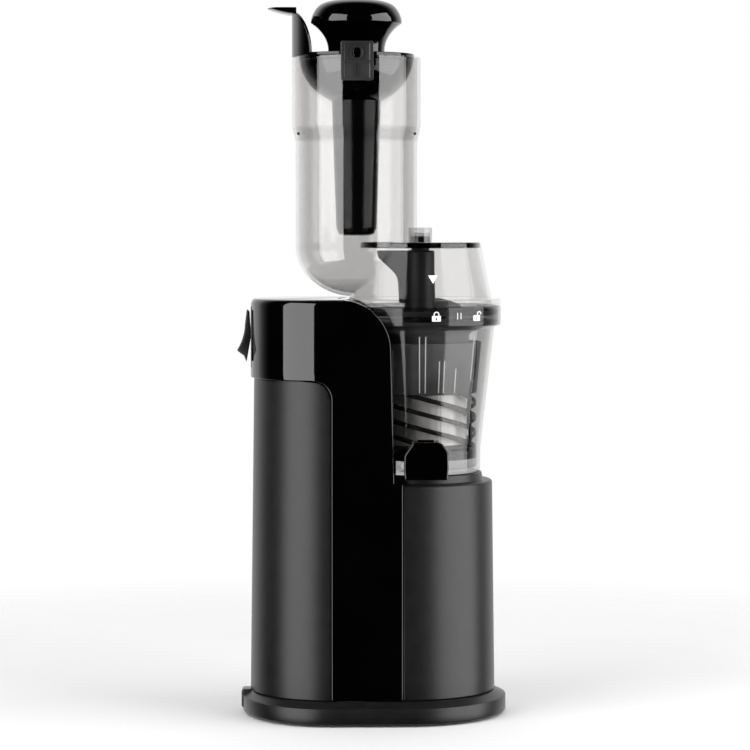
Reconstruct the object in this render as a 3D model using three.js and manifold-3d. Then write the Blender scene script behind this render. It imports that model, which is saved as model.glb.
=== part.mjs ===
// Vertical slow juicer with a wide feed tube, a clear juicing bowl and a tall motor body.
// Millimetres, +Z up, origin on the floor under the middle of the machine, front towards -Y.
import * as THREE from "three";
import { mergeVertices } from "three/addons/utils/BufferGeometryUtils.js";
import Module from "manifold-3d";

const wasm = await Module();
wasm.setup();

// Driving dimensions
const GAP = 0.3; // clearance between neighbouring pieces
const BOWL_X = 34.4; // drive, auger and bowl axis
const TUBE_X = -10.6; // feed tube axis
const LEFT_X = -29; // centre of the body's left end curve
const RIGHT_X = 22; // centre of the body's right end curve
const BODY_Z = 16.8; // lower edge of the body shells
const LEDGE_Z = 164.7; // shelf that carries the bowl
const SEAM_Z = 237; // joint between matte tower and gloss cap
const CAP_Z = 292.3; // top of the tower cap
const PANEL_X = [-28.4, 20.6]; // edges of the front and rear panels
const SHOULDER = { x: -22, z: 258, r: 34.4 }; // round corner of the tower seen from the front
const WING_FOOT_X = 14.7; // tower wing edge at the ledge
const CRADLE_R = 58.7; // hollow in the tower that takes the bowl
const WALL = 2.6; // body shell thickness
const DRAFT = 2.8; // how much the matte body widens towards the plinth
const BOWL_FLOOR_Z = 170.6;
const RING_Z = [274, 287.5]; // bowl locking ring
const RING_R = 56.8;
const LID_TOP_Z = 331.8;
const TUBE_R = 42.8;
const COLLAR_R = 45.3;
const RIM_Z = 461;
const AXLE_Z = 462; // gate pivot height
const KNOB_TOP_Z = 501.6;
const ROUND = 24; // facets on large round parts

const group = new THREE.Group();

// Materials

function finish(color, roughness, metalness = 0, opacity = 1) {
  const transparent = opacity < 1;
  return { color, roughness, metalness, opacity, transparent };
}

const MATTE = finish(0x2b2b2e, 0.45);
const GLOSS = finish(0x050506, 0.06);
const BLACK = finish(0x121214, 0.4);
const CLEAR = finish(0xb9b7b4, 0.05, 0, 0.35);
const SMOKE = finish(0x6b6a6b, 0.06, 0, 0.5);
const STEEL = finish(0xb8b8b8, 0.3, 1);
const NYLON = finish(0xd8d5c8, 0.5);
const RUBBER = finish(0x1a1a1a, 0.9);
const SILICONE = finish(0x3a3a3c, 0.7);
const COPPER = finish(0xb0673a, 0.4, 1);
const BOARD = finish(0x1f5a35, 0.6);

// Solids

function solid(geometry) {
  const bare = geometry.clone();
  bare.deleteAttribute("normal");
  bare.deleteAttribute("uv");
  const merged = mergeVertices(bare, 1e-4);
  const index = merged.index.array;
  const keep = [];
  for (let i = 0; i < index.length; i += 3) {
    const [a, b, c] = [index[i], index[i + 1], index[i + 2]];
    if (a !== b && b !== c && c !== a) keep.push(a, b, c);
  }
  const vertProperties = new Float32Array(merged.attributes.position.array);
  const make = (list) =>
    new wasm.Manifold(new wasm.Mesh({ numProp: 3, vertProperties, triVerts: new Uint32Array(list) }));
  const body = make(keep);
  if (body.volume() > 0) return body;
  const flipped = [];
  for (let i = 0; i < keep.length; i += 3) flipped.push(keep[i], keep[i + 2], keep[i + 1]);
  return make(flipped);
}

function node(name, body, look) {
  const mesh = body.getMesh();
  const geometry = new THREE.BufferGeometry();
  geometry.setAttribute("position", new THREE.BufferAttribute(new Float32Array(mesh.vertProperties), 3));
  geometry.setIndex(new THREE.BufferAttribute(new Uint32Array(mesh.triVerts), 1));
  geometry.computeVertexNormals();
  const item = new THREE.Mesh(geometry, new THREE.MeshStandardMaterial(look));
  item.name = name;
  group.add(item);
}

function union(...parts) {
  return parts.reduce((sum, part) => sum.add(part));
}

function moved(body, x, y, z) {
  return body.translate([x, y, z]);
}

// A profile of [radius, height] pairs turned about a vertical axis at (x, y)
function turned(profile, x = 0, y = 0, segments = ROUND) {
  const points = profile.map(([r, z]) => new THREE.Vector2(r, z));
  if (profile[0][0] > 0) points.push(points[0].clone());
  const geometry = new THREE.LatheGeometry(points, segments);
  geometry.rotateX(Math.PI / 2);
  return moved(solid(geometry), x, y, 0);
}

function rod(r, z0, z1, x = 0, y = 0, segments = 16) {
  return turned([[0, z0], [r, z0], [r, z1], [0, z1]], x, y, segments);
}

function ring(outer, inner, z0, z1, x = 0, y = 0, segments = ROUND) {
  return turned([[inner, z0], [outer, z0], [outer, z1], [inner, z1]], x, y, segments);
}

function box(x0, x1, y0, y1, z0, z1) {
  const geometry = new THREE.BoxGeometry(x1 - x0, y1 - y0, z1 - z0);
  return moved(solid(geometry), (x0 + x1) / 2, (y0 + y1) / 2, (z0 + z1) / 2);
}

function prism(shape, z0, z1, curveSegments = 12) {
  const options = { depth: z1 - z0, bevelEnabled: false, curveSegments };
  return moved(solid(new THREE.ExtrudeGeometry(shape, options)), 0, 0, z0);
}

// A front-view shape, drawn in X and Z, pushed through from y0 back to y1
function prismY(shape, y0, y1, curveSegments = 12) {
  const options = { depth: y1 - y0, bevelEnabled: false, curveSegments };
  const geometry = new THREE.ExtrudeGeometry(shape, options);
  geometry.rotateX(Math.PI / 2);
  return moved(solid(geometry), 0, y1, 0);
}

function rodY(r, x, z, y0, y1, segments = 12) {
  const geometry = new THREE.CylinderGeometry(r, r, y1 - y0, segments);
  return moved(solid(geometry), x, (y0 + y1) / 2, z);
}

function rodX(r, y, z, x0, x1, segments = 12) {
  const geometry = new THREE.CylinderGeometry(r, r, x1 - x0, segments);
  geometry.rotateZ(Math.PI / 2);
  return moved(solid(geometry), (x0 + x1) / 2, y, z);
}

function polygon(points) {
  return new THREE.Shape(points.map(([x, y]) => new THREE.Vector2(x, y)));
}

function roundedRect(x0, x1, z0, z1, r) {
  const shape = new THREE.Shape();
  shape.moveTo(x0 + r, z0);
  shape.lineTo(x1 - r, z0);
  shape.absarc(x1 - r, z0 + r, r, -Math.PI / 2, 0);
  shape.absarc(x1 - r, z1 - r, r, 0, Math.PI / 2);
  shape.absarc(x0 + r, z1 - r, r, Math.PI / 2, Math.PI);
  shape.absarc(x0 + r, z0 + r, r, Math.PI, Math.PI * 1.5);
  return shape;
}

// Rings of points, one per level, joined into a closed tube with flat ends
function skin(rings) {
  const count = rings[0].length;
  const positions = rings.flat(2);
  const index = [];
  for (let level = 0; level + 1 < rings.length; level++) {
    for (let i = 0; i < count; i++) {
      const a = level * count + i;
      const b = level * count + ((i + 1) % count);
      index.push(a, b, a + count, b, b + count, a + count);
    }
  }
  const flat = rings[0].map(([x, y]) => new THREE.Vector2(x, y));
  const top = (rings.length - 1) * count;
  for (const [a, b, c] of THREE.ShapeUtils.triangulateShape(flat, [])) {
    index.push(a, c, b, top + a, top + b, top + c);
  }
  const geometry = new THREE.BufferGeometry();
  geometry.setAttribute("position", new THREE.Float32BufferAttribute(positions, 3));
  geometry.setIndex(index);
  return solid(geometry);
}

// A bar of four-sided section: each section is its four corners in order along the bar
function bar(sections) {
  const positions = sections.flat(2);
  const index = [];
  for (let s = 0; s + 1 < sections.length; s++) {
    for (let i = 0; i < 4; i++) {
      const a = s * 4 + i;
      const b = s * 4 + ((i + 1) % 4);
      index.push(a, b, a + 4, b, b + 4, a + 4);
    }
  }
  const last = (sections.length - 1) * 4;
  index.push(0, 2, 1, 0, 3, 2, last, last + 1, last + 2, last, last + 2, last + 3);
  const geometry = new THREE.BufferGeometry();
  geometry.setAttribute("position", new THREE.Float32BufferAttribute(positions, 3));
  geometry.setIndex(index);
  return solid(geometry);
}

// A screw-shaped bar about a vertical axis; edge(t) gives inner radius, outer radius, height, thickness
function helix(x, turns, startAngle, steps, edge) {
  const sections = [];
  for (let s = 0; s <= steps; s++) {
    const t = s / steps;
    const angle = startAngle + turns * 2 * Math.PI * t;
    const [inner, outer, z, thick] = edge(t);
    const at = (r, height) => [x + r * Math.cos(angle), r * Math.sin(angle), height];
    const [low, high] = [z - thick / 2, z + thick / 2];
    sections.push([at(inner, low), at(outer, low), at(outer, high), at(inner, high)]);
  }
  return bar(sections);
}

// Body plan: an ellipse quarter pair at each end joined by straight sides
function plan(leftR, rightR, halfDepth, z, facets = 12) {
  const points = [];
  for (let i = 0; i <= facets; i++) {
    const a = -Math.PI / 2 + (Math.PI * i) / facets;
    points.push([RIGHT_X + rightR * Math.cos(a), halfDepth * Math.sin(a), z]);
  }
  for (let i = 0; i <= facets; i++) {
    const a = Math.PI / 2 + (Math.PI * i) / facets;
    points.push([LEFT_X + leftR * Math.cos(a), halfDepth * Math.sin(a), z]);
  }
  return points;
}

const plinthPlan = (inset, z) => plan(62 - inset, 73 - inset, 70 - inset, z);
const bodyPlan = (grow, z) => plan(53.7 + grow, 62.3 + grow, 58 + grow, z);

// Plinth and floor parts

const FEET = [[-62, -34], [-62, 34], [62, -40], [62, 40]];
const SCREWS = [[-57, -51], [-57, 51], [66, -47], [66, 47]];

function plinth() {
  const levels = [[1.8, 1], [2.8, 0], [8.5, 0], [12.2, 1.8], [16.5, 6.6]];
  const outer = skin(levels.map(([z, inset]) => plinthPlan(inset, z)));
  const under = skin([plinthPlan(2.6, 1), plinthPlan(2.6, 9), plinthPlan(5.5, 13)]);
  const middle = skin([plinthPlan(13, 12), plinthPlan(13, 18)]);
  let body = outer.subtract(under).subtract(middle);
  for (const [x, y] of SCREWS) {
    body = body.add(rod(4.6, 6.4, 13.2, x, y, 10)).subtract(rod(2.3, 5, 12.4, x, y, 8));
  }
  return body.subtract(box(-95, -82, -7.6, 7.6, 0, 20));
}

function bottomPlate() {
  let body = skin([plinthPlan(3, 3), plinthPlan(3, 6)]);
  for (const [x, y] of FEET) body = body.subtract(rod(3.5, 2, 7, x, y, 10));
  for (const [x, y] of SCREWS) {
    body = body.subtract(rod(2.3, 2, 7, x, y, 8)).subtract(rod(4.1, 2, 4.6, x, y, 10));
  }
  for (let i = -2; i <= 2; i++) {
    body = body.subtract(box(BOWL_X - 22, BOWL_X + 22, i * 10 - 2, i * 10 + 2, 2, 7));
  }
  return body.subtract(box(-95, -82, -7.6, 7.6, 0, 20));
}

function floorParts() {
  node("plinth", plinth(), MATTE);
  node("bottom_plate", bottomPlate(), BLACK);
  FEET.forEach(([x, y], i) => {
    const pad = turned([[0, 0], [8, 0], [9, 1], [9, 2.7], [3, 2.7], [3, 7.4], [0, 7.4]], x, y, 12);
    node(`rubber_foot_${i + 1}`, pad, RUBBER);
  });
  SCREWS.forEach(([x, y], i) => {
    const screw = turned([[0, 3.4], [3.5, 3.4], [3.5, 4.3], [1.8, 4.3], [1.8, 12], [0, 12]], x, y, 8);
    node(`base_screw_${i + 1}`, screw, STEEL);
  });
  const block = prismY(roundedRect(-91.9, -82.4, 3.2, 16.4, 2), -7, 7, 3);
  node("cord_inlet", block.subtract(rodX(3.2, 0, 10, -95, -80, 12)), BLACK);
}

// Body shells

// Front view of the gloss cap; the panel below it is added separately
function capFace(inset) {
  const corner = 13;
  const top = CAP_Z + 1 - inset;
  const r = SHOULDER.r - inset;
  const left = PANEL_X[0] + inset;
  const shape = new THREE.Shape();
  shape.moveTo(left, SEAM_Z - corner);
  shape.absarc(left - corner, SEAM_Z - corner, corner, 0, Math.PI / 2);
  shape.lineTo(-110, SEAM_Z);
  shape.lineTo(-110, top);
  shape.lineTo(SHOULDER.x, top);
  shape.lineTo(SHOULDER.x, SHOULDER.z + r);
  shape.absarc(SHOULDER.x, SHOULDER.z, r, Math.PI / 2, 0, true);
  shape.lineTo(wingEdge(SEAM_Z - corner) - inset, SEAM_Z - corner);
  return shape;
}

function wingEdge(z) {
  const top = SHOULDER.x + SHOULDER.r;
  return WING_FOOT_X + ((top - WING_FOOT_X) * (z - LEDGE_Z)) / (SHOULDER.z - LEDGE_Z);
}

function panelFace(inset, topZ) {
  return polygon([
    [PANEL_X[0] + inset, BODY_Z],
    [PANEL_X[1] - inset, BODY_Z],
    [PANEL_X[1] - inset, LEDGE_Z + 1.5],
    [wingEdge(LEDGE_Z + 1.5) - inset, LEDGE_Z + 1.5],
    [wingEdge(topZ) - inset, topZ],
    [PANEL_X[0] + inset, topZ],
  ]);
}

function coverBlock(shrink) {
  const levels = [[BODY_Z - 2, 3.6], [SEAM_Z, 2.5], [289.6, 2.3], [291.3, 1.6]];
  const rings = levels.map(([z, grow]) => bodyPlan(grow - shrink, z - (z > SEAM_Z ? shrink : 0)));
  rings.push(bodyPlan(0.2 - shrink, CAP_Z - shrink));
  return skin(rings);
}

const PANEL_TOP_Z = SEAM_Z - 13;
const cradle = (r) => rod(r, 150, 320, BOWL_X, 0, 36);

function switchOpening() {
  return box(-95, -70, -9.4, 9.4, 244.2, 286.8);
}

function frontCover() {
  const outer = coverBlock(0);
  const inner = coverBlock(WALL);
  const cap = outer.intersect(prismY(capFace(0), -80, 80));
  const hollow = inner.intersect(prismY(capFace(WALL), -80, 80));
  const panel = outer.subtract(inner).intersect(prismY(panelFace(0, PANEL_TOP_Z), -80, -30));
  const below = inner.intersect(box(-110, 60, -80, 80, 200, SEAM_Z + 1));
  const shell = cap.subtract(hollow).subtract(below);
  return shell.add(panel).subtract(cradle(CRADLE_R - 0.3)).subtract(switchOpening());
}

function rearCover() {
  const shell = coverBlock(0).subtract(coverBlock(WALL));
  let body = shell.intersect(prismY(panelFace(0, PANEL_TOP_Z - GAP), 30, 80));
  for (let i = 0; i < 9; i++) {
    body = body.subtract(box(-20, 12, 40, 80, 40 + i * 7, 43 + i * 7));
  }
  return body.subtract(cradle(CRADLE_R - 0.3));
}

function matteShell() {
  const outer = skin([bodyPlan(DRAFT, BODY_Z), bodyPlan(0, SEAM_Z - GAP)]);
  const inner = skin([bodyPlan(DRAFT - WALL, BODY_Z - 1), bodyPlan(-WALL, SEAM_Z + 1)]);
  return [outer, inner];
}

function leftShell() {
  const [outer, inner] = matteShell();
  const side = box(-110, PANEL_X[0] - GAP, -80, 80, 0, SEAM_Z);
  return outer.subtract(inner).intersect(side).subtract(capTail());
}

// The rounded corner where cap and panel meet, with clearance for the matte shell
function capTail() {
  const corner = 13;
  const [x, z] = [PANEL_X[0] - GAP - corner, SEAM_Z - GAP - corner];
  const face = new THREE.Shape();
  face.moveTo(x, z + corner);
  face.absarc(x, z, corner, Math.PI / 2, 0, true);
  face.lineTo(x + corner + 1, z);
  face.lineTo(x + corner + 1, z + corner + 1);
  face.lineTo(x, z + corner + 1);
  return prismY(face, -80, 80);
}

function rightShell() {
  const [outer, inner] = matteShell();
  const [x, low, high] = [PANEL_X[1] + GAP, LEDGE_Z - 3, LEDGE_Z];
  const side = box(x, 110, -80, 80, 0, high);
  const walls = outer.subtract(inner).intersect(side);
  const rightDeck = outer.intersect(box(x, 110, -80, 80, low, high));
  const innerPlan = skin([bodyPlan(-1.2, low), bodyPlan(-1.2, high)]);
  const leftDeck = innerPlan.intersect(box(-60, x + 2, -80, 80, low, high)).intersect(cradle(CRADLE_R - 0.4));
  const top = BOWL_FLOOR_Z - GAP;
  const seat = turned([[30, high - 1], [44.3, high - 1], [43.3, top], [30, top]], BOWL_X);
  return union(walls, rightDeck, leftDeck, seat).subtract(rod(14, 150, 170, BOWL_X, 0, 32));
}

function cradleWall() {
  const inside = coverBlock(WALL + GAP);
  const face = capFace(WALL + GAP);
  const tall = prismY(face, -80, 80);
  const shortFace = panelFace(WALL, PANEL_TOP_Z + 0.5);
  const low = prismY(shortFace, -80, 80);
  const band = ring(CRADLE_R + 2.2, CRADLE_R, LEDGE_Z + GAP, CAP_Z, BOWL_X, 0, 36);
  const tower = tall.add(low).add(box(-60, 0, -80, 80, LEDGE_Z, PANEL_TOP_Z + 1));
  return band.intersect(inside).intersect(tower).intersect(box(-60, 14, -80, 80, LEDGE_Z + GAP, 320));
}

function bodyShells() {
  node("left_shell", leftShell(), MATTE);
  node("right_shell", rightShell(), MATTE);
  node("front_cover", frontCover(), GLOSS);
  node("rear_cover", rearCover(), GLOSS);
  node("cradle_wall", cradleWall(), BLACK);
}

// Switch and electronics

function rockerSwitch() {
  const face = polygon([
    [-87.6, 284.6], [-88.6, 277], [-89.6, 268.5], [-92, 261.3], [-95, 255.6],
    [-91.4, 249.8], [-88.6, 247.6], [-84.6, 265.5], [-86, 283],
  ]);
  node("rocker_switch", prismY(face, -8.4, 8.4), BLACK);
  const body = box(-81.8, -66, -8.4, 8.4, 246, 285);
  const pins = [-12, 0, 12].map((z) => box(-67, -60, -3, 3, 265 + z, 266 + z));
  node("switch_body", union(body, ...pins), BLACK);
}

function controlBoard() {
  const plate = box(-62, -60.4, -32, 32, 60, 150);
  const rail = box(-62, -59, -33, 33, 56, 61);
  const choke = moved(solid(new THREE.CylinderGeometry(9, 9, 14, 16).rotateZ(Math.PI / 2)), -53.6, -14, 84);
  const capacitors = [[14, 80], [14, 100]].map(([y, z]) => rodX(6.5, y, z, -61, -36));
  const heatSink = box(-61, -42, -28, 28, 124, 138);
  const fins = [-3, -2, -1, 0, 1, 2, 3].map((i) => box(-56, -41, i * 8 - 2.5, i * 8 + 2.5, 123, 139));
  const block = fins.reduce((sum, fin) => sum.subtract(fin), heatSink);
  node("control_board", union(plate, rail, choke, ...capacitors, block), BOARD);
}

// Gears

const PRESSURE = Math.tan((20 * Math.PI) / 180);

// Straight-flanked teeth; slack is the share of the pitch left free, shift turns a tooth to that angle
function gearPoints(teeth, module, shift, internal = false, slack = 0.22) {
  const pitchR = (teeth * module) / 2;
  const sign = internal ? -1 : 1;
  const tip = 0.85 * module;
  const root = 1.15 * module;
  const half = (Math.PI / 2 / teeth) * (1 - slack);
  const tipHalf = half - (PRESSURE * tip) / pitchR;
  const rootHalf = half + (PRESSURE * root) / pitchR;
  const corners = [[-rootHalf, -root], [-tipHalf, tip], [tipHalf, tip], [rootHalf, -root]];
  const points = [];
  for (let i = 0; i < teeth; i++) {
    const centre = shift + (2 * Math.PI * i) / teeth;
    for (const [turn, height] of corners) {
      const r = pitchR + sign * height;
      points.push([r * Math.cos(centre + turn), r * Math.sin(centre + turn)]);
    }
  }
  return points;
}

function gear(teeth, module, shift, z0, z1, bore, x = 0, y = 0) {
  const body = prism(polygon(gearPoints(teeth, module, shift)), z0, z1);
  const cut = bore > 0 ? body.subtract(rod(bore, z0 - 1, z1 + 1, 0, 0, 12)) : body;
  return moved(cut, x, y, 0);
}

// A toothed hole through which the ring gear's wall is cut
function toothedHole(teeth, module, shift, z0, z1) {
  return prism(polygon(gearPoints(teeth, module, shift, true)), z0, z1);
}

// Angle of a tooth on a wheel that meshes, at direction angle, with a wheel of sunTeeth with a tooth at 0
function meshed(angle, sunTeeth, teeth) {
  const pitch = (2 * Math.PI) / sunTeeth;
  const offset = Math.round(angle / pitch) * pitch - angle;
  return angle + Math.PI - (offset * sunTeeth) / teeth + Math.PI / teeth;
}

// Angle of a tooth on a ring whose gap takes the planet's tooth at direction angle
function ringMeshed(angle, planetShift, teeth, ringTeeth) {
  const pitch = (2 * Math.PI) / teeth;
  const offset = Math.round((angle - planetShift) / pitch) * pitch + planetShift - angle;
  return angle + (offset * teeth) / ringTeeth + Math.PI / ringTeeth;
}

const BOX_MODULE = 1.5;
const [SUN, PLANET, RING] = [8, 16, 40];
const PLANET_R = ((SUN + PLANET) * BOX_MODULE) / 2;
const PLANET_ANGLES = [0, 1, 2].map((i) => (i * 2 * Math.PI) / 3);
const onCircle = (angle) => [PLANET_R * Math.cos(angle), PLANET_R * Math.sin(angle)];

function pinsDown(z0, z1) {
  return PLANET_ANGLES.map((angle) => rod(3, z0, z1, ...onCircle(angle), 12));
}

function planets(names, z0, z1) {
  PLANET_ANGLES.forEach((angle, i) => {
    const [x, y] = onCircle(angle);
    const wheel = gear(PLANET, BOX_MODULE, meshed(angle, SUN, PLANET), z0, z1, 3 + GAP, BOWL_X + x, y);
    node(names[i], wheel, NYLON);
  });
}

function gearbox() {
  const ringShift = ringMeshed(0, meshed(0, SUN, PLANET), PLANET, RING);
  const hole = toothedHole(RING, BOX_MODULE, ringShift, 107, 150);
  const housing = rod(36.5, 104, 143, 0, 0, 28).subtract(hole).subtract(rod(7.5, 100, 120));
  node("gearbox_case", moved(housing, BOWL_X, 0, 0), BLACK);
  const cover = turned(
    [[10, 143.3], [36.5, 143.3], [36.5, 146.3], [13.6, 146.3], [13.6, 161.4], [10, 161.4]],
    BOWL_X, 0, 24,
  );
  node("gearbox_cover", cover, BLACK);
  node("sun_gear", gear(SUN, BOX_MODULE, 0, 109, 118.7, 2.8, BOWL_X), STEEL);
  planets(["planet_gear_1", "planet_gear_2", "planet_gear_3"], 109.3, 118.7);
  const secondSun = gear(SUN, BOX_MODULE, 0, 122, 134.4, 0);
  const first = union(rod(25, 119.2, 122.8), secondSun, ...pinsDown(109.6, 120));
  node("first_carrier", moved(first, BOWL_X, 0, 0), STEEL);
  planets(["planet_gear_4", "planet_gear_5", "planet_gear_6"], 124, 134.2);
  const hexagon = new THREE.CylinderGeometry(6.5, 6.5, 36, 6).rotateX(Math.PI / 2);
  const output = union(
    rod(25, 135, 139.4), ...pinsDown(124.4, 136), rod(9.4, 139, 161), moved(solid(hexagon), 0, 0, 178),
  );
  node("output_shaft", moved(output, BOWL_X, 0, 0), STEEL);
  node("shaft_seal", ring(13.4, 9.8, 161.9, 166.4, BOWL_X, 0, 16), SILICONE);
}

// Motor

function motor() {
  const can = turned([[7.4, 24], [40, 24], [40, 100], [37.6, 100], [37.6, 26.6], [7.4, 26.6]], BOWL_X, 0, 24);
  const windows = [0, 1, 2, 3].map((i) => {
    const slot = box(30, 50, -12, 12, 29, 38).rotate([0, 0, 45 + 90 * i]);
    return moved(slot, BOWL_X, 0, 0);
  });
  node("motor_can", windows.reduce((sum, slot) => sum.subtract(slot), can), STEEL);
  node("motor_end_plate", ring(40, 7.5, 100.3, 103.7, BOWL_X, 0, 24), STEEL);
  node("motor_mount", motorMount(), BLACK);
  const stack = [[21.6, 44], [37.3, 44], [37.3, 82], [21.6, 82]];
  node("stator_core", turned(stack, BOWL_X, 0, 24), STEEL);
  node("lower_winding", ring(34, 24, 38.6, 43.7, BOWL_X, 0, 16), COPPER);
  node("upper_winding", ring(34, 24, 82.3, 88, BOWL_X, 0, 16), COPPER);
  node("rotor_core", ring(20.9, 4.3, 42, 84, BOWL_X, 0, 16), STEEL);
  const shaft = [[0, 22], [4, 22], [4, 107.5], [2.5, 108], [2.5, 118.4], [0, 118.4]];
  node("motor_shaft", turned(shaft, BOWL_X, 0, 16), STEEL);
  node("lower_bearing", ring(7.1, 4.3, 23.5, 27, BOWL_X, 0, 16), STEEL);
  node("upper_bearing", ring(7.2, 4.3, 100.3, 107, BOWL_X, 0, 16), STEEL);
  const blades = [0, 1, 2, 3, 4, 5, 6].map((i) =>
    box(6, 33, -0.9, 0.9, 28, 37).rotate([0, 0, (360 / 7) * i]),
  );
  node("cooling_fan", moved(union(ring(8.5, 4.3, 28, 37, 0, 0, 16), ...blades), BOWL_X, 0, 0), NYLON);
}

function motorMount() {
  const skirt = turned([
    [36, 6.4], [45, 6.4], [45, 9], [43.4, 9], [43.4, 30], [40.4, 30], [40.4, 23.7], [36, 23.7],
  ]);
  const windows = [0, 1, 2].map((i) => box(30, 50, -14, 14, 11, 22).rotate([0, 0, 60 + 120 * i]));
  return moved(windows.reduce((sum, cut) => sum.subtract(cut), skirt), BOWL_X, 0, 0);
}

// Juicing bowl

const WHEEL_MODULE = 2;
const [AUGER_TEETH, IDLER_TEETH, WIPER_TEETH] = [14, 11, 36];
const IDLER_ANGLE = -0.7;
const IDLER_R = ((AUGER_TEETH + IDLER_TEETH) * WHEEL_MODULE) / 2;
const IDLER = [IDLER_R * Math.cos(IDLER_ANGLE), IDLER_R * Math.sin(IDLER_ANGLE)];
const JUICE_DUCT = { x: 35.5, half: 12, z: [173, 192], end: -84 };
const PULP_DUCT = { x: BOWL_X, half: 15, z: [173, 192], end: 92 };
const CAP_PIVOT = { y: -80, z: 196 };

function bowlDuct(duct, y0, y1, inset) {
  const face = roundedRect(duct.x - duct.half + inset, duct.x + duct.half - inset,
    duct.z[0] + inset, duct.z[1] - inset, 5 - inset / 2);
  return prismY(face, y0, y1, 3);
}

function bowl() {
  const outside = [[0, BOWL_FLOOR_Z], [40.8, BOWL_FLOOR_Z], [42.6, 172.4], [42.6, 187], [51.8, 268],
    [52.4, 272.4], [RING_R, RING_Z[0]], [RING_R, RING_Z[1]], [0, RING_Z[1]]];
  const inside = [[0, 174], [39.4, 174], [40.2, 174.8], [40.2, 187], [49.4, 268], [50, 271],
    [54.9, 274.6], [54.9, 300], [0, 300]];
  const shell = turned(outside, BOWL_X);
  const room = turned(inside, BOWL_X);
  const front = bowlDuct(JUICE_DUCT, JUICE_DUCT.end, -20, 0);
  const rear = bowlDuct(PULP_DUCT, 20, PULP_DUCT.end, 0);
  const ears = [-1, 1].map((side) => {
    const x = JUICE_DUCT.x + side * 7.5;
    return prismY(roundedRect(x - 1.5, x + 1.5, 190, 198, 1), -82.4, -77, 2);
  });
  const hub = rod(11.5, 172, 179.6, BOWL_X, 0, 20);
  const post = rod(2.5, 172, 186, BOWL_X + IDLER[0], IDLER[1], 16);
  let body = union(shell, front, rear, ...ears).subtract(room);
  body = body.subtract(bowlDuct(JUICE_DUCT, JUICE_DUCT.end - 1, -30, 2.2));
  body = body.subtract(bowlDuct(PULP_DUCT, 30, PULP_DUCT.end + 1, 2.2));
  body = union(body, hub, post).subtract(rod(8.8, 160, 190, BOWL_X, 0, 16));
  return body.subtract(rodX(1.6, CAP_PIVOT.y, CAP_PIVOT.z, 20, 52, 12));
}

function juiceCap() {
  const { x } = JUICE_DUCT;
  const face = polygon([
    [x - 12.6, 172], [x + 12.4, 172], [x + 14, 174], [x + 15.1, 187], [x + 13.8, 192.6], [x + 8.6, 197.4],
    [x - 8, 197.4], [x - 10.8, 193], [x - 15.1, 187.4], [x - 14.2, 174.4],
  ]);
  const block = prismY(face, -92, -80);
  const socketFace = roundedRect(x - 12.5, x + 12.5, 172.5, 192.5, 5);
  const hollow = prismY(socketFace, -86, -79, 3);
  const room = box(x - 20, x + 20, -83.4, -79, 192, 200);
  const knuckle = rodX(2.6, CAP_PIVOT.y, CAP_PIVOT.z, x - 5.6, x + 5.6, 16);
  const arm = box(x - 5.6, x + 5.6, -84, -80, 194.2, 197.2);
  const body = block.subtract(hollow).subtract(room).add(knuckle).add(arm);
  return body.subtract(rodX(1.6, CAP_PIVOT.y, CAP_PIVOT.z, x - 20, x + 20, 12));
}

function bowlParts() {
  node("bowl", bowl(), SMOKE);
  node("bowl_seal", ring(8.5, 6.9, 171, 180, BOWL_X, 0, 16), SILICONE);
  node("spout_cap", juiceCap(), GLOSS);
  const pin = rodX(1.3, CAP_PIVOT.y, CAP_PIVOT.z, JUICE_DUCT.x - 9, JUICE_DUCT.x + 9, 12);
  node("spout_cap_pin", pin, STEEL);
  const gasket = bowlDuct(JUICE_DUCT, -85.7, -84.3, 0.4).subtract(bowlDuct(JUICE_DUCT, -87, -83, 3));
  node("spout_gasket", gasket, SILICONE);
  const idlerShift = meshed(IDLER_ANGLE, AUGER_TEETH, IDLER_TEETH);
  const idler = gear(IDLER_TEETH, WHEEL_MODULE, idlerShift, 180.6, 185.6, 2.8, BOWL_X + IDLER[0], IDLER[1]);
  node("idler_gear", idler, NYLON);
  node("wiper_cage", wiperCage(idlerShift), BLACK);
  for (let i = 0; i < 3; i++) node(`wiper_blade_${i + 1}`, wiperBlade(i), SILICONE);
  node("strainer_frame", strainerFrame(), BLACK);
  node("strainer_mesh", ring(32.8, 31.8, 190.2, 226, BOWL_X), STEEL);
  node("auger", auger(), BLACK);
}

const CAGE = { z: [186.4, 227], inner: 38, outer: 39.6, lead: 64, starts: 6 };

function cageRib(i, inner, outer, thick) {
  const [z0, z1] = CAGE.z;
  const turns = -(z1 - z0) / CAGE.lead;
  return helix(BOWL_X, turns, (i * 2 * Math.PI) / CAGE.starts, 12, (t) => [
    inner, outer, z0 + (z1 - z0) * t, thick,
  ]);
}

function wiperCage(idlerShift) {
  const shift = ringMeshed(IDLER_ANGLE, idlerShift, IDLER_TEETH, WIPER_TEETH);
  const hole = toothedHole(WIPER_TEETH, WHEEL_MODULE, shift, 179, 188);
  const geared = moved(rod(39.7, 180.2, 186.6, 0, 0, ROUND).subtract(hole), BOWL_X, 0, 0);
  const ribs = [...Array(CAGE.starts).keys()].map((i) => cageRib(i, CAGE.inner, CAGE.outer, 3.4));
  const band = turned([[38, 226], [39.8, 226], [43, 262], [41.2, 262]], BOWL_X);
  return union(geared, band, ...ribs);
}

function wiperBlade(i) {
  const span = [188.6, 225.4];
  const start = (-(span[0] - CAGE.z[0]) / CAGE.lead) * 2 * Math.PI + (i * 4 * Math.PI) / CAGE.starts;
  return helix(BOWL_X, -(span[1] - span[0]) / CAGE.lead, start, 14, (t) => [
    33.4, 37.2, span[0] + (span[1] - span[0]) * t, 2,
  ]);
}

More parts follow.
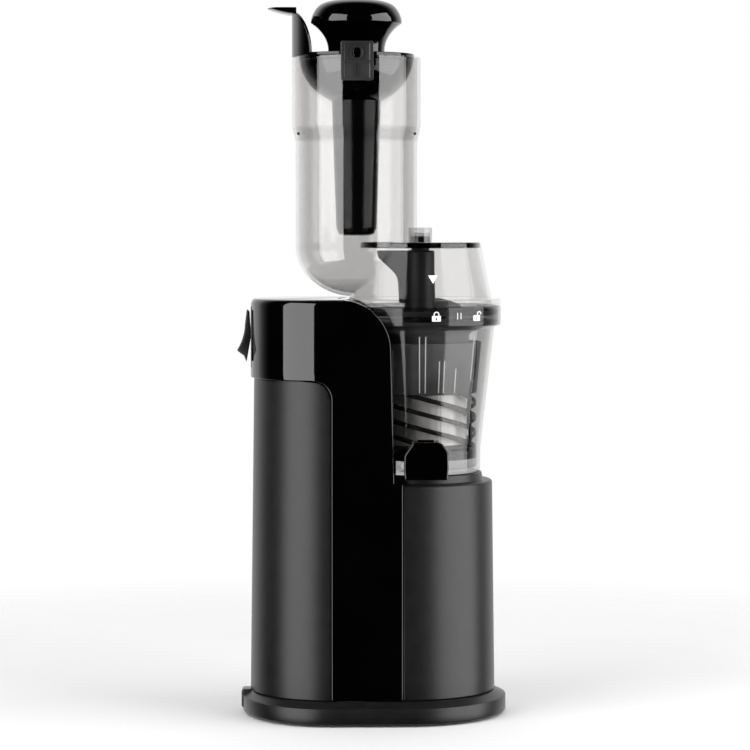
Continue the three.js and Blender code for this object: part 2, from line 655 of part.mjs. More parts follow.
function strainerFrame() {
  const foot = ring(32.8, 16.4, 187, 189.9, BOWL_X);
  const wall = [[31.2, 226.3], [33.2, 226.3], [34.6, 268], [53.8, 275], [53.8, 277.2], [32.8, 270.4]];
  const rib = box(30.6, 31.5, -1.2, 1.2, 188, 228);
  const ribs = [0, 1, 2, 3, 4, 5].map((i) => rib.rotate([0, 0, 60 * i + 15]));
  return union(foot, turned(wall, BOWL_X), ...ribs.map((rib) => moved(rib, BOWL_X, 0, 0)));
}

// Fins at the auger's top that drag food in; radius and height of one fin's edge
const FIN_OUTLINE = [[8, 289], [15, 289], [16, 308], [30, 321], [31, 326], [5, 326]];
const FIN_ANGLES = [190, 100];

function auger() {
  const toothed = moved(gear(AUGER_TEETH, WHEEL_MODULE, 0, 180.6, 186.2, 0), BOWL_X, 0, 0);
  const core = turned(
    [
      [0, 185.9], [14.6, 185.9], [14.6, 191], [23.5, 193], [17, 250],
      [11, 288], [10, 325], [6.4, 325], [6.4, 336], [0, 336],
    ],
    BOWL_X, 0, 16,
  );
  const screw = helix(BOWL_X, 3.1, 0.4, 30, (t) => [9, 29.6, 194.5 + 96 * t, 4 - 1.2 * t]);
  const fins = FIN_ANGLES.map((angle) => {
    const fin = prismY(polygon(FIN_OUTLINE), -2, 2).rotate([0, 0, angle]);
    return moved(fin, BOWL_X, 0, 0);
  });
  const socket = new THREE.CylinderGeometry(6.95, 6.95, 20, 6).rotateX(Math.PI / 2);
  return union(toothed, core, screw, ...fins).subtract(moved(solid(socket), BOWL_X, 0, 188));
}

// Lid, feed tube, gate and pusher

function tubeBottom(r, depth, z) {
  const steps = 6;
  const points = [];
  for (let i = 0; i <= steps; i++) {
    const a = (Math.PI / 2) * (i / steps);
    points.push([r * Math.sin(a), z - depth * Math.cos(a)]);
  }
  return points;
}

function lid() {
  const cone = [[0, 279], [53, 279], [53, 287.9], [RING_R, 287.9], [RING_R, 292.2], [50.6, 292.2],
    [50, 294], [42.5, LID_TOP_Z], [0, LID_TOP_Z]];
  const chamber = [[0, 270], [50.7, 270], [50.7, 289], [47.6, 294], [40.4, 328.2], [0, 328.2]];
  const tubeTop = [[TUBE_R, 403], [COLLAR_R, 414], [COLLAR_R, RIM_Z], [0, RIM_Z]];
  const tubeOut = [...tubeBottom(TUBE_R, 35, 328.5), ...tubeTop];
  const tubeIn = [...tubeBottom(40.4, 32.5, 328.5), [40.4, 404], [42.9, 415], [42.9, 480], [0, 480]];
  const shelf = rod(41.5, 328.2, LID_TOP_Z, BOWL_X, 0, ROUND).intersect(box(12, 90, -60, 60, 320, 340));
  let body = union(turned(cone, BOWL_X), turned(tubeOut, TUBE_X), rod(8.4, 330, 342, BOWL_X));
  for (const [y0, y1] of [[-49.5, -44], [44, 49.5]]) {
    body = body.add(prismY(roundedRect(TUBE_X - 11.2, TUBE_X + 11.2, 443, 470, 1.5), y0, y1, 2));
  }
  const bracketRoom = rod(46.4, RIM_Z, 480, TUBE_X, 0, ROUND);
  body = body.subtract(turned(chamber, BOWL_X)).subtract(turned(tubeIn, TUBE_X)).subtract(bracketRoom);
  body = body.add(shelf).add(rod(8.4, 330, 342, BOWL_X)).subtract(rod(6.9, 320, 338.5, BOWL_X, 0, 20));
  return body.subtract(rodY(3.4, TUBE_X, AXLE_Z, -60, -30)).subtract(rodY(3.4, TUBE_X, AXLE_Z, 30, 60));
}

function gate() {
  const profile = [];
  const steps = 5;
  const high = Math.PI / 2 - 0.09;
  const shellPoint = (r, depth, t) => {
    const low = Math.asin(18.1 / r);
    const a = low + (high - low) * t;
    return [r * Math.sin(a), AXLE_Z - depth * Math.cos(a)];
  };
  for (let i = 0; i <= steps; i++) profile.push(shellPoint(40.1, 34.7, i / steps));
  profile.push([40.5, 459.5], [40.5, 463.4], [37.9, 463.4], [37.9, 459.5]);
  for (let i = steps; i >= 0; i--) profile.push(shellPoint(37.7, 32.4, i / steps));
  const cup = turned(profile, TUBE_X);
  const collar = ring(COLLAR_R, 40, RIM_Z + GAP, 463.4, TUBE_X).intersect(box(-60, -23, -60, 60, 455, 500));
  const arch = new THREE.Shape();
  arch.moveTo(-100, 462);
  arch.lineTo(-43, 462);
  arch.absellipse(-63, 462, 20, 33.6, 0, Math.PI / 2);
  arch.lineTo(-100, 495.6);
  const wall = ring(COLLAR_R, 43, 462, 495.6, TUBE_X).intersect(prismY(arch, -60, 60));
  const tab = fingerTab();
  const pins = [rodY(3, TUBE_X, AXLE_Z, -49, -39), rodY(3, TUBE_X, AXLE_Z, 39, 49)];
  return union(cup, collar, wall, tab, ...pins);
}

function fingerTab() {
  const side = new THREE.Shape();
  side.moveTo(-53, 495.6);
  side.lineTo(-72.8, 495.6);
  side.quadraticCurveTo(-66, 490.6, -54, 490.2);
  const plate = prismY(side, -16, 16);
  const round = rod(24, 480, 500, -49, 0, 24);
  return plate.intersect(round).subtract(rod(43.2, 480, 500, TUBE_X, 0, ROUND));
}

function pusherRod() {
  const end = [[0, 336.5], [9, 336.5], [12.6, 338], [14.2, 342]];
  return turned([...end, [17.2, 430], [17.5, 455], [6, 455], [6, 458], [0, 458]], TUBE_X);
}

function pusherKnob() {
  const profile = [[0, 458.3], [6.3, 458.3], [6.3, 455.3], [19.7, 455.3], [19.9, 470], [23.4, 477],
    [29.6, 483.8], [32, 485.2], [30.2, 492], [25.2, 498.4], [13, KNOB_TOP_Z], [0, KNOB_TOP_Z]];
  return turned(profile, TUBE_X, 0, ROUND);
}

function lidParts() {
  node("lid_and_feed_tube", lid(), CLEAR);
  node("lid_gasket", ring(54.2, 53.3, 281, 284.4, BOWL_X), SILICONE);
  node("feed_gate", gate(), GLOSS);
  node("pusher_rod", pusherRod(), GLOSS);
  node("pusher_knob", pusherKnob(), GLOSS);
}

floorParts();
bodyShells();
rockerSwitch();
controlBoard();
motor();
gearbox();
bowlParts();
lidParts();

export default group;
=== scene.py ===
"""Vertical slow juicer: tower body, smoked juicing bowl, clear lid with a wide feed tube.

Shapes are drawn in millimetres in the part's own frame (front towards -Y, +Z up) and
scaled to metres when a piece is finished.
"""
import math

import bmesh
import bpy
from mathutils import Matrix, Vector


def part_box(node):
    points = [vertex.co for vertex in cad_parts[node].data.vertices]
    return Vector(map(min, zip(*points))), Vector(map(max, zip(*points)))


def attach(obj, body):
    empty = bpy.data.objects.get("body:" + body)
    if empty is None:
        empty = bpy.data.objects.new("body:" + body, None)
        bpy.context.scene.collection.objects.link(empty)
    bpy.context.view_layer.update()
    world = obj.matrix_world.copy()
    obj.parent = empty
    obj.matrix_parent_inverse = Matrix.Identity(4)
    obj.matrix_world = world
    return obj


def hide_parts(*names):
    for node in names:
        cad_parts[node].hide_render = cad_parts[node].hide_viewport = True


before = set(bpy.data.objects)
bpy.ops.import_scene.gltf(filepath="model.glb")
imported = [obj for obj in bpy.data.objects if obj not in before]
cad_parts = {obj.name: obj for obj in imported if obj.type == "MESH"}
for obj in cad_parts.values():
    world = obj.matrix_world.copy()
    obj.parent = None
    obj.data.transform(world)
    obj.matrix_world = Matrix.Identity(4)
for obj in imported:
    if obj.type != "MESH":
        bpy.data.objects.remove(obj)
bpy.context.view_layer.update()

MM = 0.001
TURN = 2 * math.pi


def middle(node, axis):
    """Middle of a frame node along one axis, in millimetres."""
    low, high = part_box(node)
    return (low[axis] + high[axis]) / 2 / MM


# Driving dimensions, in millimetres
BOWL_X = middle("strainer_mesh", 0)  # auger and bowl axis
TUBE_X = middle("pusher_rod", 0)  # feed tube axis
LEFT_X = -29.0  # centre of the body's left end curve
RIGHT_X = 22.0  # centre of the body's right end curve
BODY_R = (53.7, 62.3, 58.0)  # body's left and right end curve, and half depth
PLINTH_R = (62.0, 73.0, 70.0)  # the same for the plinth
BODY_Z = 16.8  # lower edge of the body
LEDGE_Z = 164.7  # shelf that carries the bowl
STEP_Z = 166.2  # foot of the tower wing
SEAM_Z = 237.0  # joint between matte tower and gloss cap
CAP_Z = 292.3  # top of the tower
PANEL_X = (-28.4, 20.6)  # panel edges
CORNER = 13.0  # inner corner between panel and cap
SHOULDER = (-22.0, 258.0, 34.4)  # centre X, centre Z and radius
WING_FOOT_X = 14.7  # right edge of the tower wing at its foot
CRADLE_R = 58.4  # round hollow in the tower that takes the bowl
WALL = 2.6
JOINT_GAP = 0.3
ROCKER_Y = 9.4  # half width of the opening for the rocker
ROCKER_Z = (244.2, 286.8)
RING_R = 56.8  # bowl locking ring
RING_Z = (274.0, 287.5)
LID_FOOT = (50.0, 294.0)  # radius and height where the lid's cone starts
LID_TOP = (42.5, 331.8)  # and where it ends
TUBE_R = 42.8
TUBE_BORE_R = 40.4
COLLAR_R = 45.3  # wider upper part of the feed tube
BEND_Z = 328.5  # where the tube's rounded bottom begins
NUB_R = 8.4  # cup on the lid for the auger's tip
NUB_Z = 342.0
SOCKET_R = 6.95  # hexagonal drive socket in the auger
RIM_Z = 461.0
AXLE_Z = 462.0  # the gate's pin
SPOUT_X = 35.5  # juice spout axis
SPOUT_PIN = (-80.0, 196.0)  # Y and Z of the spout cap's hinge pin
SPOUT_HALF = 12.0  # half width of the juice spout
OUTLET_HALF = 15.0  # half width of the pulp outlet
DUCT_Z = (173.0, 192.0)  # lower and upper face of both
MESH_R = (31.8, 32.8)  # strainer mesh, inside and outside
MESH_Z = (190.2, 226.0)
ROUND = 96  # facets on large round pieces
LEVEL = 0.8  # a face whose normal is steeper than this counts as level

# Half width that the body gains over its plain outline, by height
COVER_GROW = [(14.8, 3.6), (SEAM_Z, 2.5), (288.4, 2.3), (290.0, 1.95), (291.2, 1.35), (292.0, 0.6),
              (CAP_Z, -0.2)]
MATTE_GROW = [(BODY_Z, 2.8), (SEAM_Z, 0.0)]

# Gears: auger drives idler, idler drives the toothed ring of the wiper
WHEEL_MODULE = 2.0
AUGER_TEETH = 14
IDLER_TEETH = 11
WIPER_TEETH = 36
IDLER_ANGLE = -0.7  # where the idler stands, seen from above
PRESSURE = math.tan(math.radians(20))

# Raised lines moulded on the inside of the bowl: angle, lower and upper end
MOULD_LINES = [(-92.5, 228, 267), (-87.5, 228, 267), (-75.5, 228, 250), (-71, 228, 250), (-60, 228, 245),
               (-42, 236, 267), (60, 200, 262), (120, 200, 262), (180, 200, 262)]
WIPER_Z = (186.4, 227.0)  # ends of the wiper's slanted bars
WIPER_LEAD = 64.0  # height of one full turn of a bar
FIN_ANGLES = (190, 100)
FIN_OUTLINE = [(8, 289), (15, 289), (16, 308, 12), (30, 321, 3), (31, 326, 1), (5, 326)]

# Camera, lights and floor, in metres
LENS = 136.3
CAMERA_SHIFT = -0.0385
CAMERA_AT = (-0.0325, -2.0, 0.35)
CAMERA_TARGET = (0.0025, 0.0, 0.2585)
SOFTBOX_AWAY = 1.3
SOFTBOX_HEIGHT = 2.1
SOFTBOX_Z = 0.45
OVERHEAD_SIZE = 5.0
FLOOR_R = 1.6
FLOOR_FADE = (0.35, 0.75)  # where the floor starts and ends thinning out

# ---------------------------------------------------------------- mesh helpers


def steps(a, b, count):
    """Evenly spaced numbers from a to b, both included."""
    return [a + (b - a) * i / count for i in range(count + 1)]


def arc(x, y, r, start, end, count):
    return [(x + r * math.cos(a), y + r * math.sin(a)) for a in steps(start, end, count)]


def circle(x, y, r, count):
    return arc(x, y, r, 0, TURN, count)[:-1]


def mesh_object(name, vertices, faces, merge=1e-4):
    """A new object; points that meet are merged and faces turned outwards."""
    mesh = bpy.data.meshes.new(name)
    mesh.from_pydata([tuple(v) for v in vertices], [], faces)
    bm = bmesh.new()
    bm.from_mesh(mesh)
    bmesh.ops.remove_doubles(bm, verts=bm.verts, dist=merge)
    bmesh.ops.dissolve_degenerate(bm, edges=bm.edges, dist=merge)
    bmesh.ops.recalc_face_normals(bm, faces=bm.faces)
    bm.to_mesh(mesh)
    bm.free()
    obj = bpy.data.objects.new(name, mesh)
    bpy.context.collection.objects.link(obj)
    return obj


def grid_faces(start, rows, columns, wrap=False):
    """Four-sided faces between neighbouring rows of points."""
    faces = []
    for row in range(rows - 1):
        for col in range(columns if wrap else columns - 1):
            a = start + row * columns + col
            b = start + row * columns + (col + 1) % columns
            faces.append((a, b, b + columns, a + columns))
    return faces


def strips(name, grids, polygons=()):
    """One surface from several grids of points, joined where their borders meet."""
    vertices = []
    faces = []
    for grid in grids:
        faces += grid_faces(len(vertices), len(grid), len(grid[0]))
        vertices += [point for row in grid for point in row]
    for polygon in polygons:
        faces.append(tuple(range(len(vertices), len(vertices) + len(polygon))))
        vertices += polygon
    return mesh_object(name, vertices, faces, merge=2e-3)


def loft(name, rings, loop=False):
    """A tube through rings of points; loop joins the last ring to the first."""
    count = len(rings[0])
    if loop:
        rings = list(rings) + [rings[0]]
    faces = grid_faces(0, len(rings), count, wrap=True)
    vertices = [point for ring in rings for point in ring]
    if not loop:
        faces.append(tuple(range(count)))
        faces.append(tuple(range(len(vertices) - count, len(vertices))))
    return mesh_object(name, vertices, faces)


def lathe(name, profile, x=0.0, y=0.0, segments=ROUND, loop=True):
    """A closed (radius, height) outline turned about a vertical axis."""
    return loft(name, [[(u, v, z) for u, v in circle(x, y, r, segments)] for r, z in profile], loop)


def rounded(outline, default=0.0, facets=4, closed=True):
    """An outline of (a, b) or (a, b, radius) with its corners turned into arcs."""
    result = []
    count = len(outline)
    for i, corner in enumerate(outline):
        p = Vector(corner[:2])
        radius = corner[2] if len(corner) > 2 else default
        ends = not closed and i in (0, count - 1)
        if radius <= 0 or ends:
            result.append(tuple(p))
            continue
        before = Vector(outline[i - 1][:2]) - p
        after = Vector(outline[(i + 1) % count][:2]) - p
        if before.length < 1e-6 or after.length < 1e-6 or before.angle(after) > math.pi - 0.05:
            result.append(tuple(p))
            continue
        half = before.angle(after) / 2
        reach = min(radius / math.tan(half), 0.48 * before.length, 0.48 * after.length)
        real = reach * math.tan(half)
        start = p + before.normalized() * reach
        end = p + after.normalized() * reach
        inwards = (before.normalized() + after.normalized()).normalized()
        centre = p + inwards * (real / math.sin(half))
        a0 = math.atan2(*(start - centre).yx)
        a1 = math.atan2(*(end - centre).yx)
        turn = (a1 - a0 + math.pi) % TURN - math.pi
        result += arc(centre.x, centre.y, real, a0, a0 + turn, facets)
    return result


def smooth_line(points, parts=6):
    """Points on a smooth curve through the given ones."""
    vectors = [Vector(p) for p in points]
    padded = [2 * vectors[0] - vectors[1]] + vectors + [2 * vectors[-1] - vectors[-2]]
    result = []
    for i in range(len(vectors) - 1):
        a, b, c, d = padded[i:i + 4]
        for t in steps(0, 1, parts)[:-1]:
            p = 0.5 * (2 * b + (c - a) * t + (2 * a - 5 * b + 4 * c - d) * t**2
                       + (3 * b - 3 * c + d - a) * t**3)
            result.append(tuple(p))
    result.append(tuple(vectors[-1]))
    return result


def prism_y(name, outline, y0, y1):
    """A front-view (x, z) outline pushed through from y0 to y1."""
    return loft(name, [[(x, y, z) for x, z in outline] for y in (y0, y1)])


def prism_z(name, outline, z0, z1):
    """A plan-view (x, y) outline pushed through from z0 to z1."""
    return loft(name, [[(x, y, z) for x, y in outline] for z in (z0, z1)])


def box(name, x0, x1, y0, y1, z0, z1):
    """A plain block between two corners."""
    return prism_z(name, [(x0, y0), (x1, y0), (x1, y1), (x0, y1)], z0, z1)


def rect(x0, x1, z0, z1, r=0.0):
    """A rectangular outline with rounded corners."""
    return rounded([(x0, z0), (x1, z0), (x1, z1), (x0, z1)], r)


def bar_x(name, r, y, z, x0, x1, segments=24):
    """A round bar along X."""
    return loft(name, [[(x, u, v) for u, v in circle(y, z, r, segments)] for x in (x0, x1)])


def bar_y(name, r, x, z, y0, y1, segments=24):
    """A round bar along Y."""
    return prism_y(name, circle(x, z, r, segments), y0, y1)


def helix(name, x, turns, start, parts, edge):
    """A screw-shaped bar; edge(t) gives inner radius, outer radius, height and thickness."""
    sections = []
    for t in steps(0, 1, parts):
        a = start + turns * TURN * t
        inner, outer, z, thick = edge(t)
        corners = rounded([(inner, z - thick / 2), (outer, z - thick / 2), (outer, z + thick / 2),
                           (inner, z + thick / 2)], min(0.35 * thick, 0.35 * (outer - inner)), 2)
        sections.append([(x + r * math.cos(a), r * math.sin(a), h) for r, h in corners])
    return loft(name, sections)


def baked(obj):
    """Turns the object's modifiers into its mesh."""
    depsgraph = bpy.context.evaluated_depsgraph_get()
    mesh = bpy.data.meshes.new_from_object(obj.evaluated_get(depsgraph))
    obj.modifiers.clear()
    obj.data = mesh
    return obj


def discard(obj):
    """Removes a helper object and its mesh."""
    mesh = obj.data
    bpy.data.objects.remove(obj)
    bpy.data.meshes.remove(mesh)


def combine(obj, tool, operation="DIFFERENCE"):
    """Cuts tool out of obj, or adds it, and removes tool."""
    modifier = obj.modifiers.new("combine", "BOOLEAN")
    modifier.operation = operation
    modifier.solver = "EXACT"
    modifier.object = tool
    baked(obj)
    discard(tool)
    return obj


def join(obj, *others):
    """Adds the other objects' meshes to obj as they are."""
    bm = bmesh.new()
    bm.from_mesh(obj.data)
    for other in others:
        bm.from_mesh(other.data)
        discard(other)
    bm.to_mesh(obj.data)
    bm.free()
    return obj


def thicken(obj, thickness, inward_from):
    """Gives an open surface a wall on the side of the point inward_from."""
    bm = bmesh.new()
    bm.from_mesh(obj.data)
    target = Vector(inward_from)
    total = sum(f.calc_area() * f.normal.dot(f.calc_center_median() - target) for f in bm.faces)
    if total < 0:
        bmesh.ops.reverse_faces(bm, faces=bm.faces)
    bm.to_mesh(obj.data)
    bm.free()
    modifier = obj.modifiers.new("wall", "SOLIDIFY")
    modifier.thickness = thickness
    modifier.offset = -1
    modifier.use_even_offset = True
    return baked(obj)


def soften(obj, width, angle=35, segments=3):
    """Rounds the sharp edges."""
    modifier = obj.modifiers.new("soften", "BEVEL")
    modifier.width = width
    modifier.segments = segments
    modifier.limit_method = "ANGLE"
    modifier.angle_limit = math.radians(angle)
    modifier.use_clamp_overlap = False
    modifier.miter_outer = "MITER_ARC"
    return baked(obj)


def on_bowl_axis(obj, degrees=0.0):
    """Turns a mesh drawn about the origin, and moves it to the bowl's axis."""
    turn = Matrix.Rotation(math.radians(degrees), 4, "Z")
    obj.data.transform(Matrix.Translation((BOWL_X, 0, 0)) @ turn)
    return obj


def piece(obj, look, body, *nodes, sharp=38):
    """Scales the mesh to metres, gives it its material and ties it to the frame."""
    obj.data.transform(Matrix.Scale(MM, 4))
    obj.data.materials.clear()
    obj.data.materials.append(LOOKS[look])
    for face in obj.data.polygons:
        face.use_smooth = True
    obj.data.set_sharp_from_angle(angle=math.radians(sharp))
    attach(obj, body)
    if nodes:
        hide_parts(*nodes)
    return obj


def look_index(obj, look):
    """Slot of a material on a piece, added if the piece hasn't it yet."""
    names = [material.name for material in obj.data.materials]
    if look not in names:
        obj.data.materials.append(LOOKS[look])
        names.append(look)
    return names.index(look)


def edge_look(obj, look):
    """Level faces of a clear piece are mostly seen along the plastic, so they look darker."""
    index = look_index(obj, look)
    for face in obj.data.polygons:
        if abs(face.normal.z) > LEVEL:
            face.material_index = index


def band_look(obj, look, low, high, beyond=-100):
    """Gives the upright faces between two heights, to the right of beyond (mm), another look."""
    index = look_index(obj, look)
    for face in obj.data.polygons:
        inside = low * MM < face.center.z < high * MM and face.center.x > beyond * MM
        if inside and abs(face.normal.z) < LEVEL:
            face.material_index = index


# ------------------------------------------------------------------- materials

LOOKS = {}


class Graph:
    """Short calls for building the nodes of a material or a world."""

    def __init__(self, name, owner=None):
        self.name = name
        self.owner = owner or bpy.data.materials.new(name)
        self.owner.use_nodes = True
        self.nodes = self.owner.node_tree.nodes
        self.links = self.owner.node_tree.links
        self.nodes.clear()

    def add(self, kind, **values):
        node = self.nodes.new(kind)
        for key, value in values.items():
            setattr(node, key, value)
        return node

    def feed(self, source, target):
        self.links.new(source, target)

    def place(self, system="Object"):
        return self.add("ShaderNodeTexCoord").outputs[system]

    def noise(self, scale, detail=3.0, stretch=(1, 1, 1)):
        mapping = self.add("ShaderNodeMapping")
        mapping.inputs["Scale"].default_value = stretch
        self.feed(self.place(), mapping.inputs["Vector"])
        node = self.add("ShaderNodeTexNoise")
        node.inputs["Scale"].default_value = scale
        node.inputs["Detail"].default_value = detail
        self.feed(mapping.outputs["Vector"], node.inputs["Vector"])
        return node.outputs["Fac"]

    def ramp(self, source, low, high, start=0.3, end=0.7):
        node = self.add("ShaderNodeMapRange")
        for socket, value in (("From Min", start), ("From Max", end), ("To Min", low), ("To Max", high)):
            node.inputs[socket].default_value = value
        self.feed(source, node.inputs["Value"])
        return node.outputs["Result"]

    def blend(self, source, first, second):
        node = self.add("ShaderNodeValToRGB")
        for element, place, colour in zip(node.color_ramp.elements, (0.35, 0.65), (first, second)):
            element.position = place
            element.color = (*colour, 1)
        self.feed(source, node.inputs["Fac"])
        return node.outputs["Color"]

    def bump(self, source, strength, distance):
        node = self.add("ShaderNodeBump")
        node.inputs["Strength"].default_value = strength
        node.inputs["Distance"].default_value = distance
        self.feed(source, node.inputs["Height"])
        return node.outputs["Normal"]

    def math(self, operation, first, second):
        node = self.add("ShaderNodeMath", operation=operation)
        for socket, value in zip(node.inputs, (first, second)):
            if isinstance(value, (int, float)):
                socket.default_value = value
            else:
                self.feed(value, socket)
        return node.outputs[0]

    def mix(self, share, first, second):
        node = self.add("ShaderNodeMixShader")
        for source, socket in zip((share, first, second), node.inputs):
            self.feed(source, socket)
        return node.outputs["Shader"]

    def finish(self, shader):
        output = self.add("ShaderNodeOutputMaterial")
        self.feed(shader, output.inputs["Surface"])
        LOOKS[self.name] = self.owner


def pair(low, high, blue=0.0, green=0.0):
    """A darker and a lighter grey, each with a little more or less green and blue."""
    return [(grey, grey + green, grey + blue) for grey in (low, high)]


def opaque(name, colours, roughness, grain, depth, level=0.5, metal=0.0, stretch=(1, 1, 1)):
    """Solid material with a mottled colour, uneven roughness and a fine bump."""
    g = Graph(name)
    shader = g.add("ShaderNodeBsdfPrincipled")
    broad = g.noise(grain * 0.07, 2.0, stretch)
    fine = g.noise(grain, 4.0, stretch)
    g.feed(g.blend(broad, *colours), shader.inputs["Base Color"])
    g.feed(g.ramp(fine, *roughness), shader.inputs["Roughness"])
    if depth:
        g.feed(g.bump(fine, 0.5, depth), shader.inputs["Normal"])
    shader.inputs["Metallic"].default_value = metal
    shader.inputs["Specular IOR Level"].default_value = level
    g.finish(shader.outputs["BSDF"])


def clear(name, tints, base_mirror=0.04, roughness=(0.015, 0.04)):
    """Thin clear plastic: what is behind shows unbent, and the face mirrors more at a slant."""
    g = Graph(name)
    slant = g.add("ShaderNodeLayerWeight")
    slant.inputs["Blend"].default_value = 0.5
    fifth = g.math("POWER", slant.outputs["Facing"], 5.0)
    mirror_share = g.math("ADD", g.math("MULTIPLY", fifth, 1 - base_mirror), base_mirror)
    through = g.add("ShaderNodeBsdfTransparent")
    flow = g.noise(14.0, 2.0, (1, 1, 0.35))
    g.feed(g.blend(flow, *tints), through.inputs["Color"])
    mirror = g.add("ShaderNodeBsdfGlossy")
    mirror.inputs["Color"].default_value = (1, 1, 1, 1)
    g.feed(g.ramp(g.noise(60.0), *roughness), mirror.inputs["Roughness"])
    g.finish(g.mix(mirror_share, through.outputs["BSDF"], mirror.outputs["BSDF"]))


def perforated_steel():
    """Brushed strainer steel with rows of fine round holes."""
    g = Graph("perforated_steel")
    shader = g.add("ShaderNodeBsdfPrincipled")
    shader.inputs["Metallic"].default_value = 0.75
    cells = g.add("ShaderNodeTexVoronoi")
    cells.inputs["Scale"].default_value = 800.0
    cells.inputs["Randomness"].default_value = 0.12
    g.feed(g.place(), cells.inputs["Vector"])
    hole = g.ramp(cells.outputs["Distance"], 1.0, 0.0, 0.20, 0.32)
    brushed = g.noise(900.0, 3.0, (1, 1, 0.05))
    g.feed(g.blend(hole, (0.80, 0.785, 0.77), (0.26, 0.253, 0.246)), shader.inputs["Base Color"])
    g.feed(g.ramp(brushed, 0.50, 0.66), shader.inputs["Roughness"])
    g.feed(g.bump(hole, 0.6, -0.0002), shader.inputs["Normal"])
    g.finish(shader.outputs["BSDF"])


def build_materials():
    opaque("matte_black", pair(0.005, 0.0072, 0.0004), (0.32, 0.40), 1500.0, 0.00006, 0.36)
    opaque("gloss_black", pair(0.0003, 0.0006, 0.0001), (0.03, 0.06), 260.0, 0.0)
    opaque("satin_black", pair(0.0012, 0.0022, 0.0001), (0.17, 0.23), 260.0, 0.0, 0.3)
    opaque("black_plastic", pair(0.006, 0.010, 0.0005), (0.24, 0.36), 1200.0, 0.00004)
    opaque("dark_bowl_part", pair(0.012, 0.02, 0.001), (0.18, 0.30), 700.0, 0.00003)
    opaque("smoky_strainer", pair(0.06, 0.15, 0.001), (0.45, 0.58), 300.0, 0.00003, 0.35)
    opaque("auger_black", pair(0.006, 0.012, 0.0005), (0.42, 0.52), 500.0, 0.00003, 0.22)
    opaque("bracket_grey", pair(0.016, 0.032, 0.001), (0.10, 0.2), 300.0, 0.0)
    opaque("brushed_steel", [(0.52, 0.52, 0.52), (0.66, 0.66, 0.65)], (0.24, 0.40), 600.0, 0.00003,
           metal=1.0, stretch=(1, 1, 0.06))
    opaque("copper_wire", [(0.55, 0.22, 0.09), (0.80, 0.40, 0.20)], (0.25, 0.45), 900.0,
           0.0003, metal=1.0, stretch=(0.3, 0.3, 3))
    opaque("natural_nylon", pair(0.66, 0.76, -0.09, -0.02), (0.42, 0.55), 700.0, 0.00004)
    opaque("foot_rubber", pair(0.012, 0.022), (0.75, 0.9), 1400.0, 0.0001)
    opaque("seal_silicone", pair(0.05, 0.07, 0.0035), (0.5, 0.62), 900.0, 0.00004)
    opaque("circuit_board", [(0.02, 0.12, 0.045), (0.035, 0.17, 0.07)], (0.30, 0.50),
           500.0, 0.00005)
    opaque("print_white", pair(0.80, 0.9), (0.35, 0.45), 900.0, 0.00001)
    opaque("mould_line", pair(0.42, 0.58), (0.25, 0.4), 300.0, 0.0)
    clear("clear_lid", pair(0.83, 0.865, -0.008, -0.005))
    clear("clear_cone", pair(0.90, 0.94, -0.005, -0.003), 0.015)
    # A darker clear for the lid's level faces and its nub; around the feed tube's step it is painted shade
    clear("clear_step", pair(0.74, 0.80, -0.005, -0.003))
    clear("clear_edge", pair(0.30, 0.38, -0.002))
    clear("smoke_plastic", pair(0.77, 0.81, -0.005, -0.003), 0.022)
    clear("smoke_ring", pair(0.60, 0.67, -0.002), 0.022)
    clear("smoke_edge", pair(0.55, 0.63, -0.002))
    perforated_steel()


# ------------------------------------------------------------------ body plans


def plan(left_r, right_r, depth, z, facets=64):
    """The body's outline seen from above: two half ovals joined by straight sides."""
    ring = []
    for centre, r, start in ((RIGHT_X, right_r, -TURN / 4), (LEFT_X, left_r, TURN / 4)):
        for a in steps(start, start + TURN / 2, facets):
            ring.append((centre + r * math.cos(a), depth * math.sin(a), z))
    return ring


def body_radii(grow):
    """The body's two end curves and half depth, each widened by grow."""
    return [r + grow for r in BODY_R]


def depth_at(x, grow):
    """Half depth of the body at a given X."""
    left_r, right_r, depth = body_radii(grow)
    if x < LEFT_X:
        return depth * math.sqrt(max(0.0, 1 - ((LEFT_X - x) / left_r) ** 2))
    if x > RIGHT_X:
        return depth * math.sqrt(max(0.0, 1 - ((x - RIGHT_X) / right_r) ** 2))
    return depth


def lerp_table(table, z):
    """Value at height z from a table of (height, value)."""
    for (z0, v0), (z1, v1) in zip(table, table[1:]):
        if z <= z1:
            t = max(0.0, (z - z0) / (z1 - z0))
            return v0 + (v1 - v0) * t
    return table[-1][1]


def cover_grow(z):
    """Half width that the gloss cover gains at a height."""
    return lerp_table(COVER_GROW, z)


def wing_edge(z):
    """Right edge of the tower wing, which leans a little outwards."""
    top = SHOULDER[0] + SHOULDER[2]
    return WING_FOOT_X + (top - WING_FOOT_X) * (z - LEDGE_Z) / (SHOULDER[1] - LEDGE_Z)


def right_edge(z):
    """Right edge of the gloss cover above the ledge."""
    x, middle_z, r = SHOULDER
    if z <= middle_z:
        return wing_edge(z)
    return x + math.sqrt(max(0.0, r * r - (z - middle_z) ** 2))


def left_edge(z):
    """Left edge of the panel, which curves into the cap's lower edge."""
    if z <= SEAM_Z - CORNER:
        return PANEL_X[0]
    rise = z - (SEAM_Z - CORNER)
    return PANEL_X[0] - CORNER + math.sqrt(max(0.0, CORNER**2 - rise**2))


def corner_levels(count=12):
    """Heights close together where the inner corner turns fastest."""
    return [SEAM_Z - CORNER + CORNER * math.sin(a) for a in steps(0, TURN / 4, count)]


def shoulder_levels(count=26):
    """Heights close together where the round shoulder turns fastest."""
    _, z, r = SHOULDER
    return [z + r * math.sin(a) for a in steps(0, math.asin((CAP_Z - z) / r), count)]


def cover_row(z, side, x0, x1, columns=26):
    """Along the front or rear face at one height."""
    return [(x, side * depth_at(x, cover_grow(z)), z) for x in steps(x0, x1, columns)]


